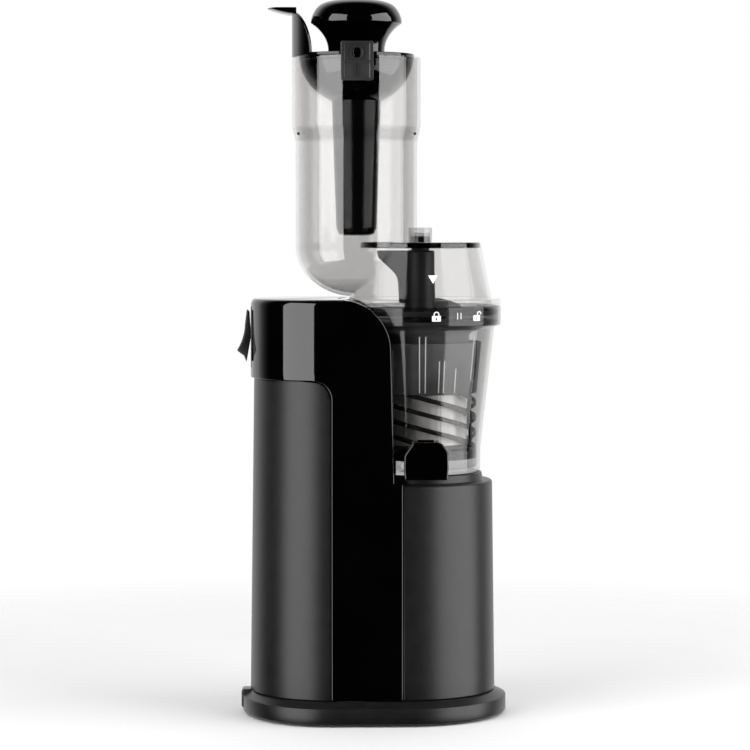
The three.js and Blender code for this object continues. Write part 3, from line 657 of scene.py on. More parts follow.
def roof_row(z, side):
    """From the cover's face back to the round hollow that takes the bowl."""
    x = right_edge(z)
    front = depth_at(x, cover_grow(z))
    away = BOWL_X - x
    back = math.sqrt(max(0.0, CRADLE_R**2 - away**2))
    return [(x, side * y, z) for y in steps(front, back, 4)]


def end_row(z):
    """Around the left end of the cap, front to rear."""
    left_r, _, depth = body_radii(cover_grow(z))
    start = math.asin((LEFT_X - (PANEL_X[0] - CORNER)) / left_r)
    row = []
    for t in steps(start, math.pi - start, 72):
        row.append((LEFT_X - left_r * math.sin(t), -depth * math.cos(t), z))
    return row


def roof_outline():
    """The cover's flat top: around the tower, and along the hollow for the bowl."""
    hollow_y = roof_row(CAP_Z, 1)[-1][1]
    hollow = []
    for y in steps(hollow_y, -hollow_y, 24):
        hollow.append((BOWL_X - math.sqrt(CRADLE_R**2 - y * y), y, CAP_Z))
    corners = left_edge(SEAM_Z), right_edge(CAP_Z)
    top = cover_row(CAP_Z, -1, *corners)[::-1]
    top += end_row(CAP_Z)[1:]
    top += cover_row(CAP_Z, 1, *corners)[1:]
    top += roof_row(CAP_Z, 1)[1:]
    top += hollow[1:]
    top += roof_row(CAP_Z, -1)[::-1][1:-1]
    return top


def low_panel(side):
    """The two halves of the panel below the shelf, front or rear."""
    levels = steps(BODY_Z, STEP_Z, 12)
    foot_x = wing_edge(STEP_Z)
    return [[cover_row(z, side, PANEL_X[0], foot_x) for z in levels],
            [cover_row(z, side, foot_x, PANEL_X[1], 3) for z in levels]]


def front_cover():
    upper = steps(STEP_Z, SEAM_Z - CORNER, 8)
    tail = corner_levels()
    cap = steps(SEAM_Z, SHOULDER[1], 4) + shoulder_levels()[1:]
    grids = low_panel(-1)
    grids.append([cover_row(z, -1, PANEL_X[0], wing_edge(z)) for z in upper])
    grids.append([roof_row(z, -1) for z in upper])
    grids.append([end_row(z) for z in cap])
    for side in (-1, 1):
        grids.append([cover_row(z, side, left_edge(z), wing_edge(z)) for z in tail])
        grids.append([roof_row(z, side) for z in tail])
        grids.append([cover_row(z, side, left_edge(SEAM_Z), right_edge(z)) for z in cap])
        grids.append([roof_row(z, side) for z in cap])
    cover = strips("front_cover", grids, [roof_outline()])
    thicken(cover, WALL - 0.3, (-20, 0, 200))
    soften(cover, 0.7, angle=50)
    combine(cover, box("opening", -98, -70, -ROCKER_Y, ROCKER_Y, *ROCKER_Z))
    piece(cover, "gloss_black", "base", "front_cover")


def rear_cover():
    levels = steps(STEP_Z, SEAM_Z - CORNER - JOINT_GAP, 8)
    grids = low_panel(1)
    grids.append([cover_row(z, 1, PANEL_X[0], wing_edge(z)) for z in levels])
    grids.append([roof_row(z, 1) for z in levels])
    cover = strips("rear_cover", grids)
    thicken(cover, WALL - 0.3, (-20, 0, 100))
    for i in range(9):
        z = 40 + 7 * i
        combine(cover, prism_y("slot", rect(-20, 12, z, z + 3, 1.4), 40, 80))
    soften(cover, 0.5, angle=50)
    piece(cover, "gloss_black", "base", "rear_cover")


def tongues(x, low, high):
    """Strips inside the joint between shell and cover, so that no light shows through it."""
    sides = ((-55.4, -54.2), (54.2, 55.4))
    return [box("tongue", x - 4, x + 4, y0, y1, low, high) for y0, y1 in sides]


def left_shell():
    def row(z):
        left_r, _, depth = body_radii(lerp_table(MATTE_GROW, z))
        border = left_edge(z + JOINT_GAP) - JOINT_GAP
        start = math.asin(max(0.0, LEFT_X - border) / left_r)
        turns = steps(start, math.pi - start, 80)
        ring = [(LEFT_X - left_r * math.sin(t), -depth * math.cos(t), z) for t in turns]
        return [(border, ring[0][1], z)] + ring + [(border, -ring[0][1], z)]

    levels = steps(BODY_Z, SEAM_Z - CORNER - JOINT_GAP, 10)[:-1]
    levels += [z - JOINT_GAP for z in corner_levels(14)]
    shell = strips("left_shell", [[row(z) for z in levels]])
    thicken(shell, WALL - 0.2, (-29, 0, 130))
    soften(shell, 0.9, angle=50, segments=4)
    join(shell, *tongues(LEFT_X, BODY_Z + 1, SEAM_Z - 2))
    piece(shell, "matte_black", "base", "left_shell")


def bowl_deck(border):
    """Flat shelf with the raised ring that the bowl stands on."""
    _, right_r, depth = body_radii(-4)
    turns = steps(-TURN / 4, TURN / 4, 60)
    outline = [(RIGHT_X + right_r * math.cos(t), depth * math.sin(t)) for t in turns]
    limit = math.acos((BOWL_X - border - 3) / (CRADLE_R - 0.6))
    for x, y in arc(BOWL_X, 0, CRADLE_R - 0.8, math.pi - limit, math.pi + limit, 60):
        most = depth_at(x, -3)
        outline.append((x, max(-most, min(most, y))))
    deck = prism_z("deck", outline, LEDGE_Z - 3, LEDGE_Z - 0.05)
    hole = [(0, 150), (14, 150), (14, 175), (0, 175)]
    combine(deck, lathe("hole", hole, BOWL_X, segments=48, loop=False))
    seat = rounded([(14, LEDGE_Z - 3), (46, LEDGE_Z - 3), (46, LEDGE_Z - 0.1), (44.3, LEDGE_Z, 0.8),
                    (43.3, 170.3, 0.8), (30, 170.3, 0.8), (30, LEDGE_Z + 0.4), (14, LEDGE_Z + 0.4)], 0, 3)
    return deck, lathe("seat", seat, BOWL_X)


def right_shell():
    border = PANEL_X[1] + JOINT_GAP

    def row(z, inset):
        _, right_r, depth = body_radii(lerp_table(MATTE_GROW, z) - inset)
        turns = steps(-TURN / 4, TURN / 4, 80)
        ring = [(RIGHT_X + right_r * math.cos(t), depth * math.sin(t), z) for t in turns]
        return [(border, ring[0][1], z)] + ring + [(border, ring[-1][1], z)]

    rim = [(2.2, 0), (1.3, 0.12), (0.5, 0.6), (0.1, 1.3), (0, 2.2), (0, 12)]
    levels = [(z, 0) for z in steps(BODY_Z, LEDGE_Z - 2.8, 10)]
    levels += [(LEDGE_Z - down, inset) for down, inset in rim]
    shell = strips("right_shell", [[row(z, inset) for z, inset in levels]])
    thicken(shell, WALL - 0.2, (30, 0, 60))
    soften(shell, 0.9, angle=50, segments=4)
    join(shell, *tongues(PANEL_X[1], BODY_Z + 1, LEDGE_Z - 4), *bowl_deck(border))
    piece(shell, "matte_black", "base", "right_shell")


def cradle_wall():
    """Upright hollow wall behind the bowl, with a corner that closes the gap at its foot."""
    r = CRADLE_R + 0.3
    half = math.acos((BOWL_X - 14) / r)

    def top_at(x):
        centre, z, shoulder_r = SHOULDER[0], SHOULDER[1], SHOULDER[2] - 3
        away = max(0.0, x - centre)
        top = z + math.sqrt(max(0.0, shoulder_r**2 - away**2))
        return min(top, CAP_Z - 2.9)

    columns = []
    for x, y in arc(BOWL_X, 0, r, math.pi - half, math.pi + half, 60):
        limit = depth_at(x, 2.0 - WALL)
        y = max(-limit, min(limit, y))
        columns.append([(x, y, z) for z in steps(LEDGE_Z + 0.3, top_at(x), 12)])
    wall = strips("cradle_wall", [columns])
    thicken(wall, 2.2, (-200, 0, 230))
    join(wall, box("corner", 13.0, 18.6, 46.5, 51.0, LEDGE_Z + 0.6, 186))
    piece(wall, "black_plastic", "base", "cradle_wall")


# ----------------------------------------------------------------- lower parts


def plinth():
    levels = [(1.8, 2.6), (1.8, 0.9), (2.1, 0.35), (2.8, 0), (8.3, 0), (12.2, 0.05), (12.6, 0.2),
              (12.9, 0.7), (13.5, 2.2), (14.6, 4.4), (15.9, 6.4), (16.5, 7.4), (16.5, 13), (13, 13),
              (13, 5.5), (9, 2.6)]
    base = loft("plinth", [plan(*[r - inset for r in PLINTH_R], z) for z, inset in levels], loop=True)
    combine(base, box("notch", -97, -82, -7.6, 7.6, 0, 20))
    piece(base, "matte_black", "base", "plinth")


def feet():
    profile = rounded([(0, 0), (8, 0, 0.6), (9, 1, 0.3), (9, 2.7, 0.3), (3, 2.7), (3, 7.4), (0, 7.4)], 0, 3)
    for i in range(1, 5):
        node = f"rubber_foot_{i}"
        foot = lathe(node, profile, middle(node, 0), middle(node, 1), 40, loop=False)
        piece(foot, "foot_rubber", "base", node)


def cord_inlet():
    block = prism_y("cord_inlet", rect(-91.9, -82.4, 3.2, 16.4, 2), -7, 7)
    combine(block, bar_x("hole", 3.2, 0, 10, -95, -80))
    soften(block, 0.6, angle=50)
    piece(block, "black_plastic", "base", "cord_inlet")


def rocker_bezel():
    """Dark frame lining the opening around the rocker."""
    low, high = ROCKER_Z
    outer, inner = ROCKER_Y + 0.2, ROCKER_Y - 0.6
    frame_part = box("rocker_bezel", -84.8, -80.5, -outer, outer, low - 0.2, high + 0.2)
    combine(frame_part, box("room", -90, -78, -inner, inner, low + 0.8, high - 0.8))
    soften(frame_part, 0.25, angle=50, segments=2)
    piece(frame_part, "black_plastic", "base")


def rocker():
    face = smooth_line([(-87.6, 284.6), (-88.6, 277), (-89.6, 268.5), (-91.8, 261.3), (-94.6, 255.9)], 5)
    face += [(-89.6, 252.2), (-88.0, 247.9), (-84.9, 265.5), (-86, 283)]
    switch = prism_y("rocker_switch", face, -8.4, 8.4)
    soften(switch, 0.6, angle=30)
    piece(switch, "black_plastic", "rocker", "rocker_switch")


# ------------------------------------------------------------------ bowl parts


def gear_outline(teeth, module, shift, internal=False, slack=0.22):
    """Straight-flanked teeth; shift is the angle of the first tooth."""
    pitch_r = teeth * module / 2
    sign = -1 if internal else 1
    tip, root = 0.85 * module, 1.15 * module
    half = TURN / 4 / teeth * (1 - slack)
    tip_half = half - PRESSURE * tip / pitch_r
    root_half = half + PRESSURE * root / pitch_r
    corners = [(-root_half, -root), (-tip_half, tip), (tip_half, tip), (root_half, -root)]
    outline = []
    for i in range(teeth):
        centre = shift + TURN * i / teeth
        for turn, height in corners:
            r = pitch_r + sign * height
            outline.append((r * math.cos(centre + turn), r * math.sin(centre + turn)))
    return outline


def meshed(angle, driver_teeth, teeth):
    """Tooth angle of a wheel that meshes, in direction angle, with a wheel whose tooth is at 0."""
    pitch = TURN / driver_teeth
    offset = round(angle / pitch) * pitch - angle
    return angle + math.pi - offset * driver_teeth / teeth + math.pi / teeth


def ring_meshed(angle, wheel_shift, teeth, ring_teeth):
    """Tooth angle of an internal ring that meshes with the wheel inside it."""
    pitch = TURN / teeth
    offset = round((angle - wheel_shift) / pitch) * pitch + wheel_shift - angle
    return angle + offset * teeth / ring_teeth + math.pi / ring_teeth


def duct_outline(x, half, inset):
    """Section of the juice spout or the pulp outlet, inset by a wall."""
    low, high = DUCT_Z
    return rect(x - half + inset, x + half - inset, low + inset, high - inset, 5 - inset / 2)


def bowl_inner_r(z):
    """Inner radius of the bowl's cone at a height."""
    return 40.2 + (z - 187) * 9.2 / 81


def mould_line(degrees, low, high):
    """One raised line, leaning with the bowl's wall."""
    line = box("mould_lines", 0, 0.5, -0.35, 0.35, 0, 1)
    for vertex in line.data.vertices:
        z = high if vertex.co.z > 0.5 else low
        vertex.co.x += bowl_inner_r(z) - 0.45
        vertex.co.z = z
    return on_bowl_axis(line, degrees)


def bowl():
    profile = rounded([
        (9, 170.6), (40.8, 170.6, 1.2), (42.6, 172.4, 1.2), (42.6, 187, 6), (51.8, 268, 5), (52.4, 272.4, 2),
        (RING_R, RING_Z[0], 1.2), (RING_R, RING_Z[1], 0.8), (54.9, RING_Z[1], 0.5), (54.9, 274.6, 0.8),
        (50, 271, 1), (49.4, 268, 3), (40.2, 187, 5), (40.2, 174.8, 1), (39.4, 174, 0.6), (9, 174),
    ])
    shell = lathe("bowl", profile, BOWL_X)
    inside = [(0, 174), (39.4, 174), (40.2, 174.8), (40.2, 187), (41.5, 199), (0, 199)]
    ducts = ((SPOUT_X, SPOUT_HALF, -30, -84), (BOWL_X, OUTLET_HALF, 30, 92))
    for x, half, root, end in ducts:
        duct = prism_y("duct", duct_outline(x, half, 0), *sorted((root, end)))
        combine(duct, lathe("room", inside, BOWL_X, loop=False))
        combine(shell, duct, "UNION")
    for x, half, root, end in ducts:
        combine(shell, prism_y("cut", duct_outline(x, half, 2.2), *sorted((root, end * 1.07))))
    for x in (SPOUT_X - 7.5, SPOUT_X + 7.5):
        combine(shell, prism_y("ear", rect(x - 1.5, x + 1.5, 188, 198, 1), -82.4, -77), "UNION")
    combine(shell, bar_x("pin_hole", 1.6, *SPOUT_PIN, 20, 52))
    hub = rounded([(8.8, 171), (11.5, 171), (11.5, 179.6, 0.6), (8.8, 179.6, 0.4)])
    join(shell, lathe("hub", hub, BOWL_X, segments=48))
    piece(shell, "smoke_plastic", "bowl_set", "bowl", sharp=30)
    edge_look(shell, "smoke_edge")
    band_look(shell, "smoke_ring", RING_Z[0] - 1, RING_Z[1] + 0.5)
    lines = [mould_line(*row) for row in MOULD_LINES]
    piece(join(lines.pop(), *lines), "mould_line", "bowl_set")


def spout_cap():
    """Front plate with a shallow skirt behind it, and an arm up to the hinge pin."""
    x = SPOUT_X
    face = rounded([
        (x - 14.4, 172, 1.4), (x + 14.6, 172, 1.4), (x + 15.1, 180, 4), (x + 14.9, 191.0, 5),
        (x + 10.6, 197.4, 5), (x - 8.8, 197.4, 3.5), (x - 14.8, 188.6, 4), (x - 15.1, 180, 4),
    ], 0, 6)
    cap = soften(prism_y("spout_cap", face, -92, -86), 1.1, angle=50, segments=4)
    inner = [(x + (u - x) * 0.985, 184 + (v - 184) * 0.985) for u, v in face if v < 193]
    skirt = prism_y("skirt", inner, -86.1, -83.5)
    combine(skirt, prism_y("hollow", rect(x - 12.3, x + 12.3, 173.4, 192.3, 5), -88, -79))
    arm = box("arm", x - 5.6, x + 5.6, -84, -80, 194.2, 197.2)
    combine(arm, bar_x("knuckle", 2.6, *SPOUT_PIN, x - 5.6, x + 5.6), "UNION")
    combine(arm, bar_x("pin_hole", 1.6, *SPOUT_PIN, x - 20, x + 20))
    join(cap, skirt, arm)
    piece(cap, "gloss_black", "spout_flap", "spout_cap")
    pin = soften(bar_x("spout_cap_pin", 1.3, *SPOUT_PIN, x - 9, x + 9), 0.3, angle=50)
    piece(pin, "brushed_steel", "bowl_set", "spout_cap_pin")


def strainer():
    wall = rounded([(31.2, 226.3), (33.2, 226.3, 0.5), (34.6, 268, 4), (53.8, 275, 0.5), (53.8, 277.2, 0.5),
                    (32.8, 270.4, 1.5)], 0, 5)
    frame_part = lathe("strainer_frame", wall, BOWL_X)
    foot = rounded([(16.4, 187), (32.8, 187, 0.5), (32.8, 189.9, 0.3), (16.4, 189.9, 0.4)])
    join(frame_part, lathe("foot", foot, BOWL_X))
    for i in range(6):
        rib = soften(box("rib", 30.6, 31.5, -1.2, 1.2, 188, 228), 0.2, 50, 2)
        join(frame_part, on_bowl_axis(rib, 60 * i + 15))
    piece(frame_part, "smoky_strainer", "bowl_set", "strainer_frame")
    corners = [(MESH_R[0], MESH_Z[0]), (MESH_R[1], MESH_Z[0]), (MESH_R[1], MESH_Z[1]), (MESH_R[0], MESH_Z[1])]
    piece(lathe("strainer_mesh", corners, BOWL_X), "perforated_steel", "bowl_set", "strainer_mesh")


def wiper_arm(degrees):
    """Curved bar on the outside of the wiper cage."""
    sections = []
    for t in steps(0, 1, 36):
        z = 261.5 - 70 * t
        middle_turn = math.radians(degrees + 3.5 * math.sin(1.1 * TURN * t))
        inner = 39.2 + max(0.0, (z - 226) * 0.085)
        outer = min(inner + 2.2, bowl_inner_r(z) - 0.5)
        half = 0.045 if t < 0.35 else 0.032
        ring = []
        for r, turn in ((inner, -half), (outer, -half), (outer, half), (inner, half)):
            a = middle_turn + turn
            ring.append((BOWL_X + r * math.cos(a), r * math.sin(a), z))
        sections.append(ring)
    return soften(loft("wiper_arms", sections), 0.3, 50, 2)


def wiper():
    """Cage of slanted bars between an upper band and a toothed ring, with three soft blades."""
    bottom, top = WIPER_Z
    band = rounded([(38, 226), (39.8, 226, 0.4), (43, 262, 0.6), (41.2, 262, 0.5)], 0.2, 3)
    cage = lathe("wiper_cage", band, BOWL_X)
    idler_shift = meshed(IDLER_ANGLE, AUGER_TEETH, IDLER_TEETH)
    shift = ring_meshed(IDLER_ANGLE, idler_shift, IDLER_TEETH, WIPER_TEETH)
    disc = rounded([(0, 180.2), (39.7, 180.2, 0.4), (39.7, 186.6, 0.4), (0, 186.6)], 0, 3)
    ring_part = lathe("ring", disc, BOWL_X, loop=False)
    hole = prism_z("hole", gear_outline(WIPER_TEETH, WHEEL_MODULE, shift, internal=True), 179, 188)
    combine(ring_part, on_bowl_axis(hole))
    join(cage, ring_part)
    for i in range(6):
        rib = helix("rib", BOWL_X, -(top - bottom) / WIPER_LEAD, i * TURN / 6, 60,
                    lambda t: (38.0, 39.6, bottom + (top - bottom) * t, 3.4))
        join(cage, rib)
    piece(cage, "dark_bowl_part", "wiper", "wiper_cage")
    band_look(cage, "smoky_strainer", 226.5, 262.5)
    piece(join(wiper_arm(-31), wiper_arm(149)), "dark_bowl_part", "wiper")
    low, high = 188.6, 225.4
    for i in range(3):
        start = -(low - bottom) / WIPER_LEAD * TURN + i * TURN / 3
        blade = helix(f"wiper_blade_{i + 1}", BOWL_X, -(high - low) / WIPER_LEAD, start, 60,
                      lambda t: (33.4, 37.2, low + (high - low) * t, 2.0))
        piece(blade, "seal_silicone", "wiper", f"wiper_blade_{i + 1}")


def auger():
    """Tapered core with one screw flight, a drive socket and teeth below, two feed fins above."""
    core = smooth_line([(23.5, 193), (20.4, 222), (17, 250), (13.8, 270), (11, 288), (10.2, 306),
                        (10, 325)], 5)
    profile = [(0, 186.3), (14.6, 186.3), (14.6, 191), (22.6, 192.4)] + core
    profile += [(9.2, 325.9), (6.4, 326), (6.4, 335.2), (5.6, 336), (0, 336)]
    body = lathe("auger", profile, BOWL_X, segments=64, loop=False)
    flight = helix("flight", BOWL_X, 3.1, 0.4, 220,
                   lambda t: (9, 29.6 - 2 * max(0, t - 0.93) / 0.07, 194.5 + 96 * t, 4 - 1.2 * t))
    toothed = on_bowl_axis(prism_z("toothed", gear_outline(AUGER_TEETH, WHEEL_MODULE, 0), 180.6, 186.2))
    for part in (toothed, body):
        combine(part, on_bowl_axis(prism_z("socket", circle(0, 0, SOCKET_R, 6), 178, 198)))
    join(body, flight, toothed)
    for degrees in FIN_ANGLES:
        fin = soften(prism_y("fin", rounded(FIN_OUTLINE, 0.8, 6), -2, 2), 0.7, 40)
        join(body, on_bowl_axis(fin, degrees))
    piece(body, "auger_black", "screw", "auger")


# -------------------------------------------------------------- lid and pusher


def tube_bottom(r, depth, count=20):
    """Oval outline from the bottom of the feed tube up to its straight part."""
    return [(r * math.sin(a), BEND_Z - depth * math.cos(a)) for a in steps(0, TURN / 4, count)]


def solid_lid():
    """Cone over the bowl and feed tube beside it, both still solid."""
    cone = rounded([
        (0, 279), (53, 279, 0.6), (53, 287.9, 0.5), (RING_R, 287.9, 0.8), (RING_R, 292.2, 1.2),
        (50.6, 292.2, 1), (*LID_FOOT, 1), (*LID_TOP, 1.2), (0, LID_TOP[1])], 0, 4, closed=False)
    tube = tube_bottom(TUBE_R, 35) + rounded([
        (TUBE_R, 340), (TUBE_R, 402, 8), (COLLAR_R, 413, 8), (COLLAR_R, RIM_Z, 0.8), (0, RIM_Z)], 0, 6,
        closed=False)
    body = lathe("lid_and_feed_tube", cone, BOWL_X, loop=False)
    return combine(body, lathe("tube", tube, TUBE_X, loop=False), "UNION")


def lid_nub():
    """Round cup on the lid that takes the auger's tip."""
    outline = rounded([(0, 330), (NUB_R, 330), (NUB_R, NUB_Z, 0.8), (0, NUB_Z)], 0, 3, closed=False)
    room = [(0, 320), (NUB_R - 1.5, 320), (NUB_R - 1.5, NUB_Z - 3.5), (0, NUB_Z - 3.5)]
    nub = lathe("nub", outline, BOWL_X, segments=48, loop=False)
    return combine(nub, lathe("room", room, BOWL_X, segments=48, loop=False))


def lid():
    cone = solid_lid()
    chamber = [(0, 270), (50.7, 270), (50.7, 289), (47.6, 294), (40.4, 328.2), (0, 328.2)]
    combine(cone, lathe("chamber", chamber, BOWL_X, loop=False))
    bore = tube_bottom(TUBE_BORE_R, 32.5) + rounded([
        (TUBE_BORE_R, 340), (TUBE_BORE_R, 403, 8), (42.9, 414, 8), (42.9, 480), (0, 480)], 0, 6,
        closed=False)
    combine(cone, lathe("bore", bore, TUBE_X, loop=False))
    join(cone, prism_z("shelf", shelf_outline(), 328.3, LID_TOP[1] - 0.05), lid_nub())
    piece(cone, "clear_lid", "lid", "lid_and_feed_tube", sharp=30)
    edge_look(cone, "clear_step")
    # Painted shade: the upright faces around the feed tube's step get the darker clear
    band_look(cone, "clear_step", 404, 412)
    band_look(cone, "clear_cone", 278, LID_TOP[1] - 0.2, 3)
    nub_look = look_index(cone, "clear_step")
    for face in cone.data.polygons:
        from_axis = math.hypot(face.center.x - BOWL_X * MM, face.center.y)
        if face.center.z > (LID_TOP[1] + 0.4) * MM and from_axis < (NUB_R + 0.6) * MM:
            face.material_index = nub_look
    edge = rounded([(41.2, 327.8), (42.45, 327.8, 0.5), (42.2, 331.7, 0.5), (41.2, 331.7)], 0, 3)
    piece(lathe("lid_top_edge", edge, BOWL_X), "clear_edge", "lid")
    for side in (-1, 1):
        piece(bracket(side), "bracket_grey", "lid")
        bump = bar_y("stop_bump", 1.0, TUBE_X + 40.6 * side, 407.5, -18.2, -15.2, 20)
        piece(soften(bump, 0.3, 50), "dark_bowl_part", "lid")


def shelf_outline():
    """The lid's flat top that stays beside the feed tube, in plan."""
    return [(x, y) for x, y in arc(BOWL_X, 0, 41.6, -2.05, 2.05, 60) if x > 12]


def bracket(side):
    """Bearing block for the gate's pin, with two sunk panels, a ring and two ridges on its face."""
    def span(a, b):
        return sorted((a * side, b * side))

    through = span(43, 51)
    block = prism_y("bracket", rect(TUBE_X - 11.2, TUBE_X + 11.2, 443, 470, 1.5), *span(44.2, 49.5))
    combine(block, bar_y("hole", 3.4, TUBE_X, AXLE_Z, *through, 32))
    for low, high in ((444.6, 455.2), (456.6, 468.4)):
        combine(block, box("panel", TUBE_X - 8.6, TUBE_X + 8.6, *span(48.8, 50.5), low, high))
    soften(block, 0.35, angle=50, segments=2)
    for x in (TUBE_X - 1.2, TUBE_X + 1.2):
        join(block, box("ridge", x - 0.35, x + 0.35, *span(48.7, 49.4), 446, 455))
    lip = bar_y("lip", 5.2, TUBE_X, AXLE_Z, *span(48.7, 49.5), 48)
    combine(lip, bar_y("hole", 4.2, TUBE_X, AXLE_Z, *through, 48))
    return join(block, lip)


def lid_gasket():
    outline = rounded([(53.3, 281), (54.2, 281, 0.3), (54.2, 284.4, 0.3), (53.3, 284.4)])
    piece(lathe("lid_gasket", outline, BOWL_X), "seal_silicone", "lid", "lid_gasket")


def cup_arc(r, depth, hole_r=18.1, count=24):
    """Outline of the gate's cup, from the hole in its bottom up to its rim."""
    start = math.asin(hole_r / r)
    return [(r * math.sin(a), AXLE_Z - depth * math.cos(a)) for a in steps(start, TURN / 4 - 0.09, count)]


def gate_wall():
    """Upright part of the gate that follows the collar, with a curved front and rear edge."""
    rows = []
    for z in steps(461.4, 495.5, 24):
        rise = max(z, 462) - 462
        border = -63 + 20 * math.sqrt(max(0.0, 1 - (rise / 33.6) ** 2))
        half = math.acos(min(1.0, (TUBE_X - border) / COLLAR_R))
        rows.append([(x, y, z) for x, y in arc(TUBE_X, 0, COLLAR_R, math.pi - half, math.pi + half, 40)])
    wall = strips("wall", [rows])
    thicken(wall, 2.2, (TUBE_X, 0, 470))
    return soften(wall, 0.4, 50)


def gate_flange():
    """Rim of the gate that rests on the collar."""
    half = math.acos((TUBE_X + 23) / COLLAR_R)
    outline = [(40.2, 461.3), (COLLAR_R, 461.3), (COLLAR_R, 463.4), (40.2, 463.4)]
    section = rounded(outline, 0.4, 2)
    rings = []
    for a in steps(math.pi - half, math.pi + half, 60):
        rings.append([(TUBE_X + r * math.cos(a), r * math.sin(a), z) for r, z in section])
    return loft("flange", rings)


def gate():
    profile = cup_arc(40.1, 34.7)
    profile += [(40.5, 459.5), (40.5, 463.1), (40.2, 463.4), (38.2, 463.4), (37.9, 463.1), (37.9, 459.5)]
    profile += cup_arc(37.7, 32.4)[::-1]
    cup = lathe("feed_gate", profile, TUBE_X)
    join(cup, gate_wall(), gate_flange(), finger_tab())
    for y0, y1 in ((-49, -39), (39, 49)):
        join(cup, soften(bar_y("pin", 3, TUBE_X, AXLE_Z, y0, y1, 32), 0.4, 50))
    piece(cup, "gloss_black", "lid", "feed_gate")


def finger_tab():
    """A thin lip that curves outwards from the gate's wall."""
    root, tip = -52.5, -72.8
    sections = []
    for x in steps(root, tip, 20):
        half = max(0.6, min(16, math.sqrt(max(0.0, 24**2 - (x + 49) ** 2))))
        t = (x - root) / (tip - root)
        low = 490.4 + 4.4 * t**1.6
        high = 495.6 - 0.25 * t
        droop = 0.27 * (1 - t)
        above = [(-1, high - droop), (-0.6, high), (0, high), (0.6, high), (1, high - droop)]
        below = [(1, low + 0.6), (0.6, low), (0, low), (-0.6, low), (-1, low + 0.6)]
        sections.append([(x, across * half, z) for across, z in above + below])
    return soften(loft("tab", sections), 0.35, 50, 2)


def pusher():
    outline = [(0, 336.5)] + rounded([
        (9, 336.5, 2), (12.4, 337.6, 2), (14.2, 342, 3), (17.2, 430), (17.5, 455), (6, 455), (6, 458),
        (0, 458)], 0, 5, closed=False)
    piece(lathe("pusher_rod", outline, TUBE_X, loop=False), "satin_black", "pusher", "pusher_rod")
    outline = [(0, 458.3), (6.3, 458.3), (6.3, 455.3), (19.2, 455.3), (19.7, 455.8)]
    outline += smooth_line([(19.8, 462), (20.1, 469), (22.2, 475), (26.2, 480.4), (30.2, 483.9),
                            (31.6, 484.8)], 5)
    outline += smooth_line([(32.0, 485.6), (31.6, 488.6), (30.2, 492.2), (27.9, 495.8), (24.6, 498.5),
                            (19.5, 500.4), (13.5, 501.3), (6, 501.6), (0, 501.6)], 5)
    piece(lathe("pusher_knob", outline, TUBE_X, loop=False), "gloss_black", "pusher", "pusher_knob")


# ---------------------------------------------------------------- printed marks


def mark(name, outlines, radius_at, degrees, z, body):
    """Thin printed shapes laid on a round surface; outlines are (across, up) in millimetres."""
    start = math.radians(degrees) - TURN / 4
    faces, vertices = [], []
    for outline in outlines:
        first, count = len(vertices), len(outline)
        for lift in (0.03, 0.14):
            for u, v in outline:
                r = radius_at(z + v) + lift
                a = start + u / r
                vertices.append((BOWL_X + r * math.cos(a), r * math.sin(a), z + v))
        faces.append(tuple(range(first, first + count)))
        faces.append(tuple(range(first + count, first + 2 * count)))
        faces += grid_faces(first, 2, count, wrap=True)
    piece(mesh_object(name, vertices, faces), "print_white", body)


def padlock(aside):
    """Body with a keyhole, and a shackle that is moved aside by this much when it is open."""
    left = [(-0.55, -3.3), (-0.55, -0.9), (-3.1, -0.9), (-3.1, -3.3)]
    right = [(3.1, -3.3), (3.1, -0.9), (0.55, -0.9), (0.55, -3.3)]
    over = [(-3.1, -0.9), (3.1, -0.9), (3.1, 0.5), (-3.1, 0.5)]
    under = [(-0.55, -3.3), (0.55, -3.3), (0.55, -2.5), (-0.55, -2.5)]
    inner, outer = 1.35, 2.0
    right_foot = 1.1 if aside else 0.5
    shackle = arc(aside, 1.4, outer, 0, math.pi, 12)
    shackle += [(aside - outer, 0.5), (aside - inner, 0.5)]
    shackle += arc(aside, 1.4, inner, math.pi, 0, 12)
    shackle += [(aside + inner, right_foot), (aside + outer, right_foot)]
    return [left, right, over, under, shackle]


def marks():
    def cone_r(z):
        return lerp_table([LID_FOOT[::-1], LID_TOP[::-1]], z)

    def ring_r(_):
        return RING_R

    ticks = [rect(u - 0.22, u + 0.22, -2.2, 2.2) for u in (-1.3, 1.3)]
    mark("lid_arrow", [[(-3.2, 2.7), (3.2, 2.7), (0, -3.0)]], cone_r, 8.6, 306.6, "lid")
    mark("closed_lock_mark", padlock(0), ring_r, 9.4, 281.2, "bowl_set")
    mark("open_lock_mark", padlock(2.4), ring_r, 41.4, 281.2, "bowl_set")
    mark("ring_ticks", ticks, ring_r, 26.3, 281.4, "bowl_set")


# ----------------------------------------------------------- parts as in the CAD

CARRIED = {
    "black_plastic": ["bottom_plate", "switch_body", "gearbox_case", "gearbox_cover", "motor_mount"],
    "circuit_board": ["control_board"],
    "copper_wire": ["lower_winding", "upper_winding"],
    "natural_nylon": ["cooling_fan", "idler_gear"] + [f"planet_gear_{i}" for i in range(1, 7)],
    "seal_silicone": ["shaft_seal", "bowl_seal", "spout_gasket"],
    "brushed_steel": ["sun_gear", "first_carrier", "output_shaft", "motor_can", "motor_end_plate",
                      "stator_core", "rotor_core", "motor_shaft", "lower_bearing", "upper_bearing"]
                     + [f"base_screw_{i}" for i in range(1, 5)],
}


def carried_parts():
    """Gives the frame's own solids their materials."""
    for look, names in CARRIED.items():
        for name in names:
            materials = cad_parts[name].data.materials
            materials.clear()
            materials.append(LOOKS[look])


# ------------------------------------------------------------- camera and light


def aimed(obj, position, target):
    """Puts a camera or light at a place and points it at a target."""
    obj.location = position
    obj.rotation_euler = (Vector(target) - Vector(position)).to_track_quat("-Z", "Y").to_euler()


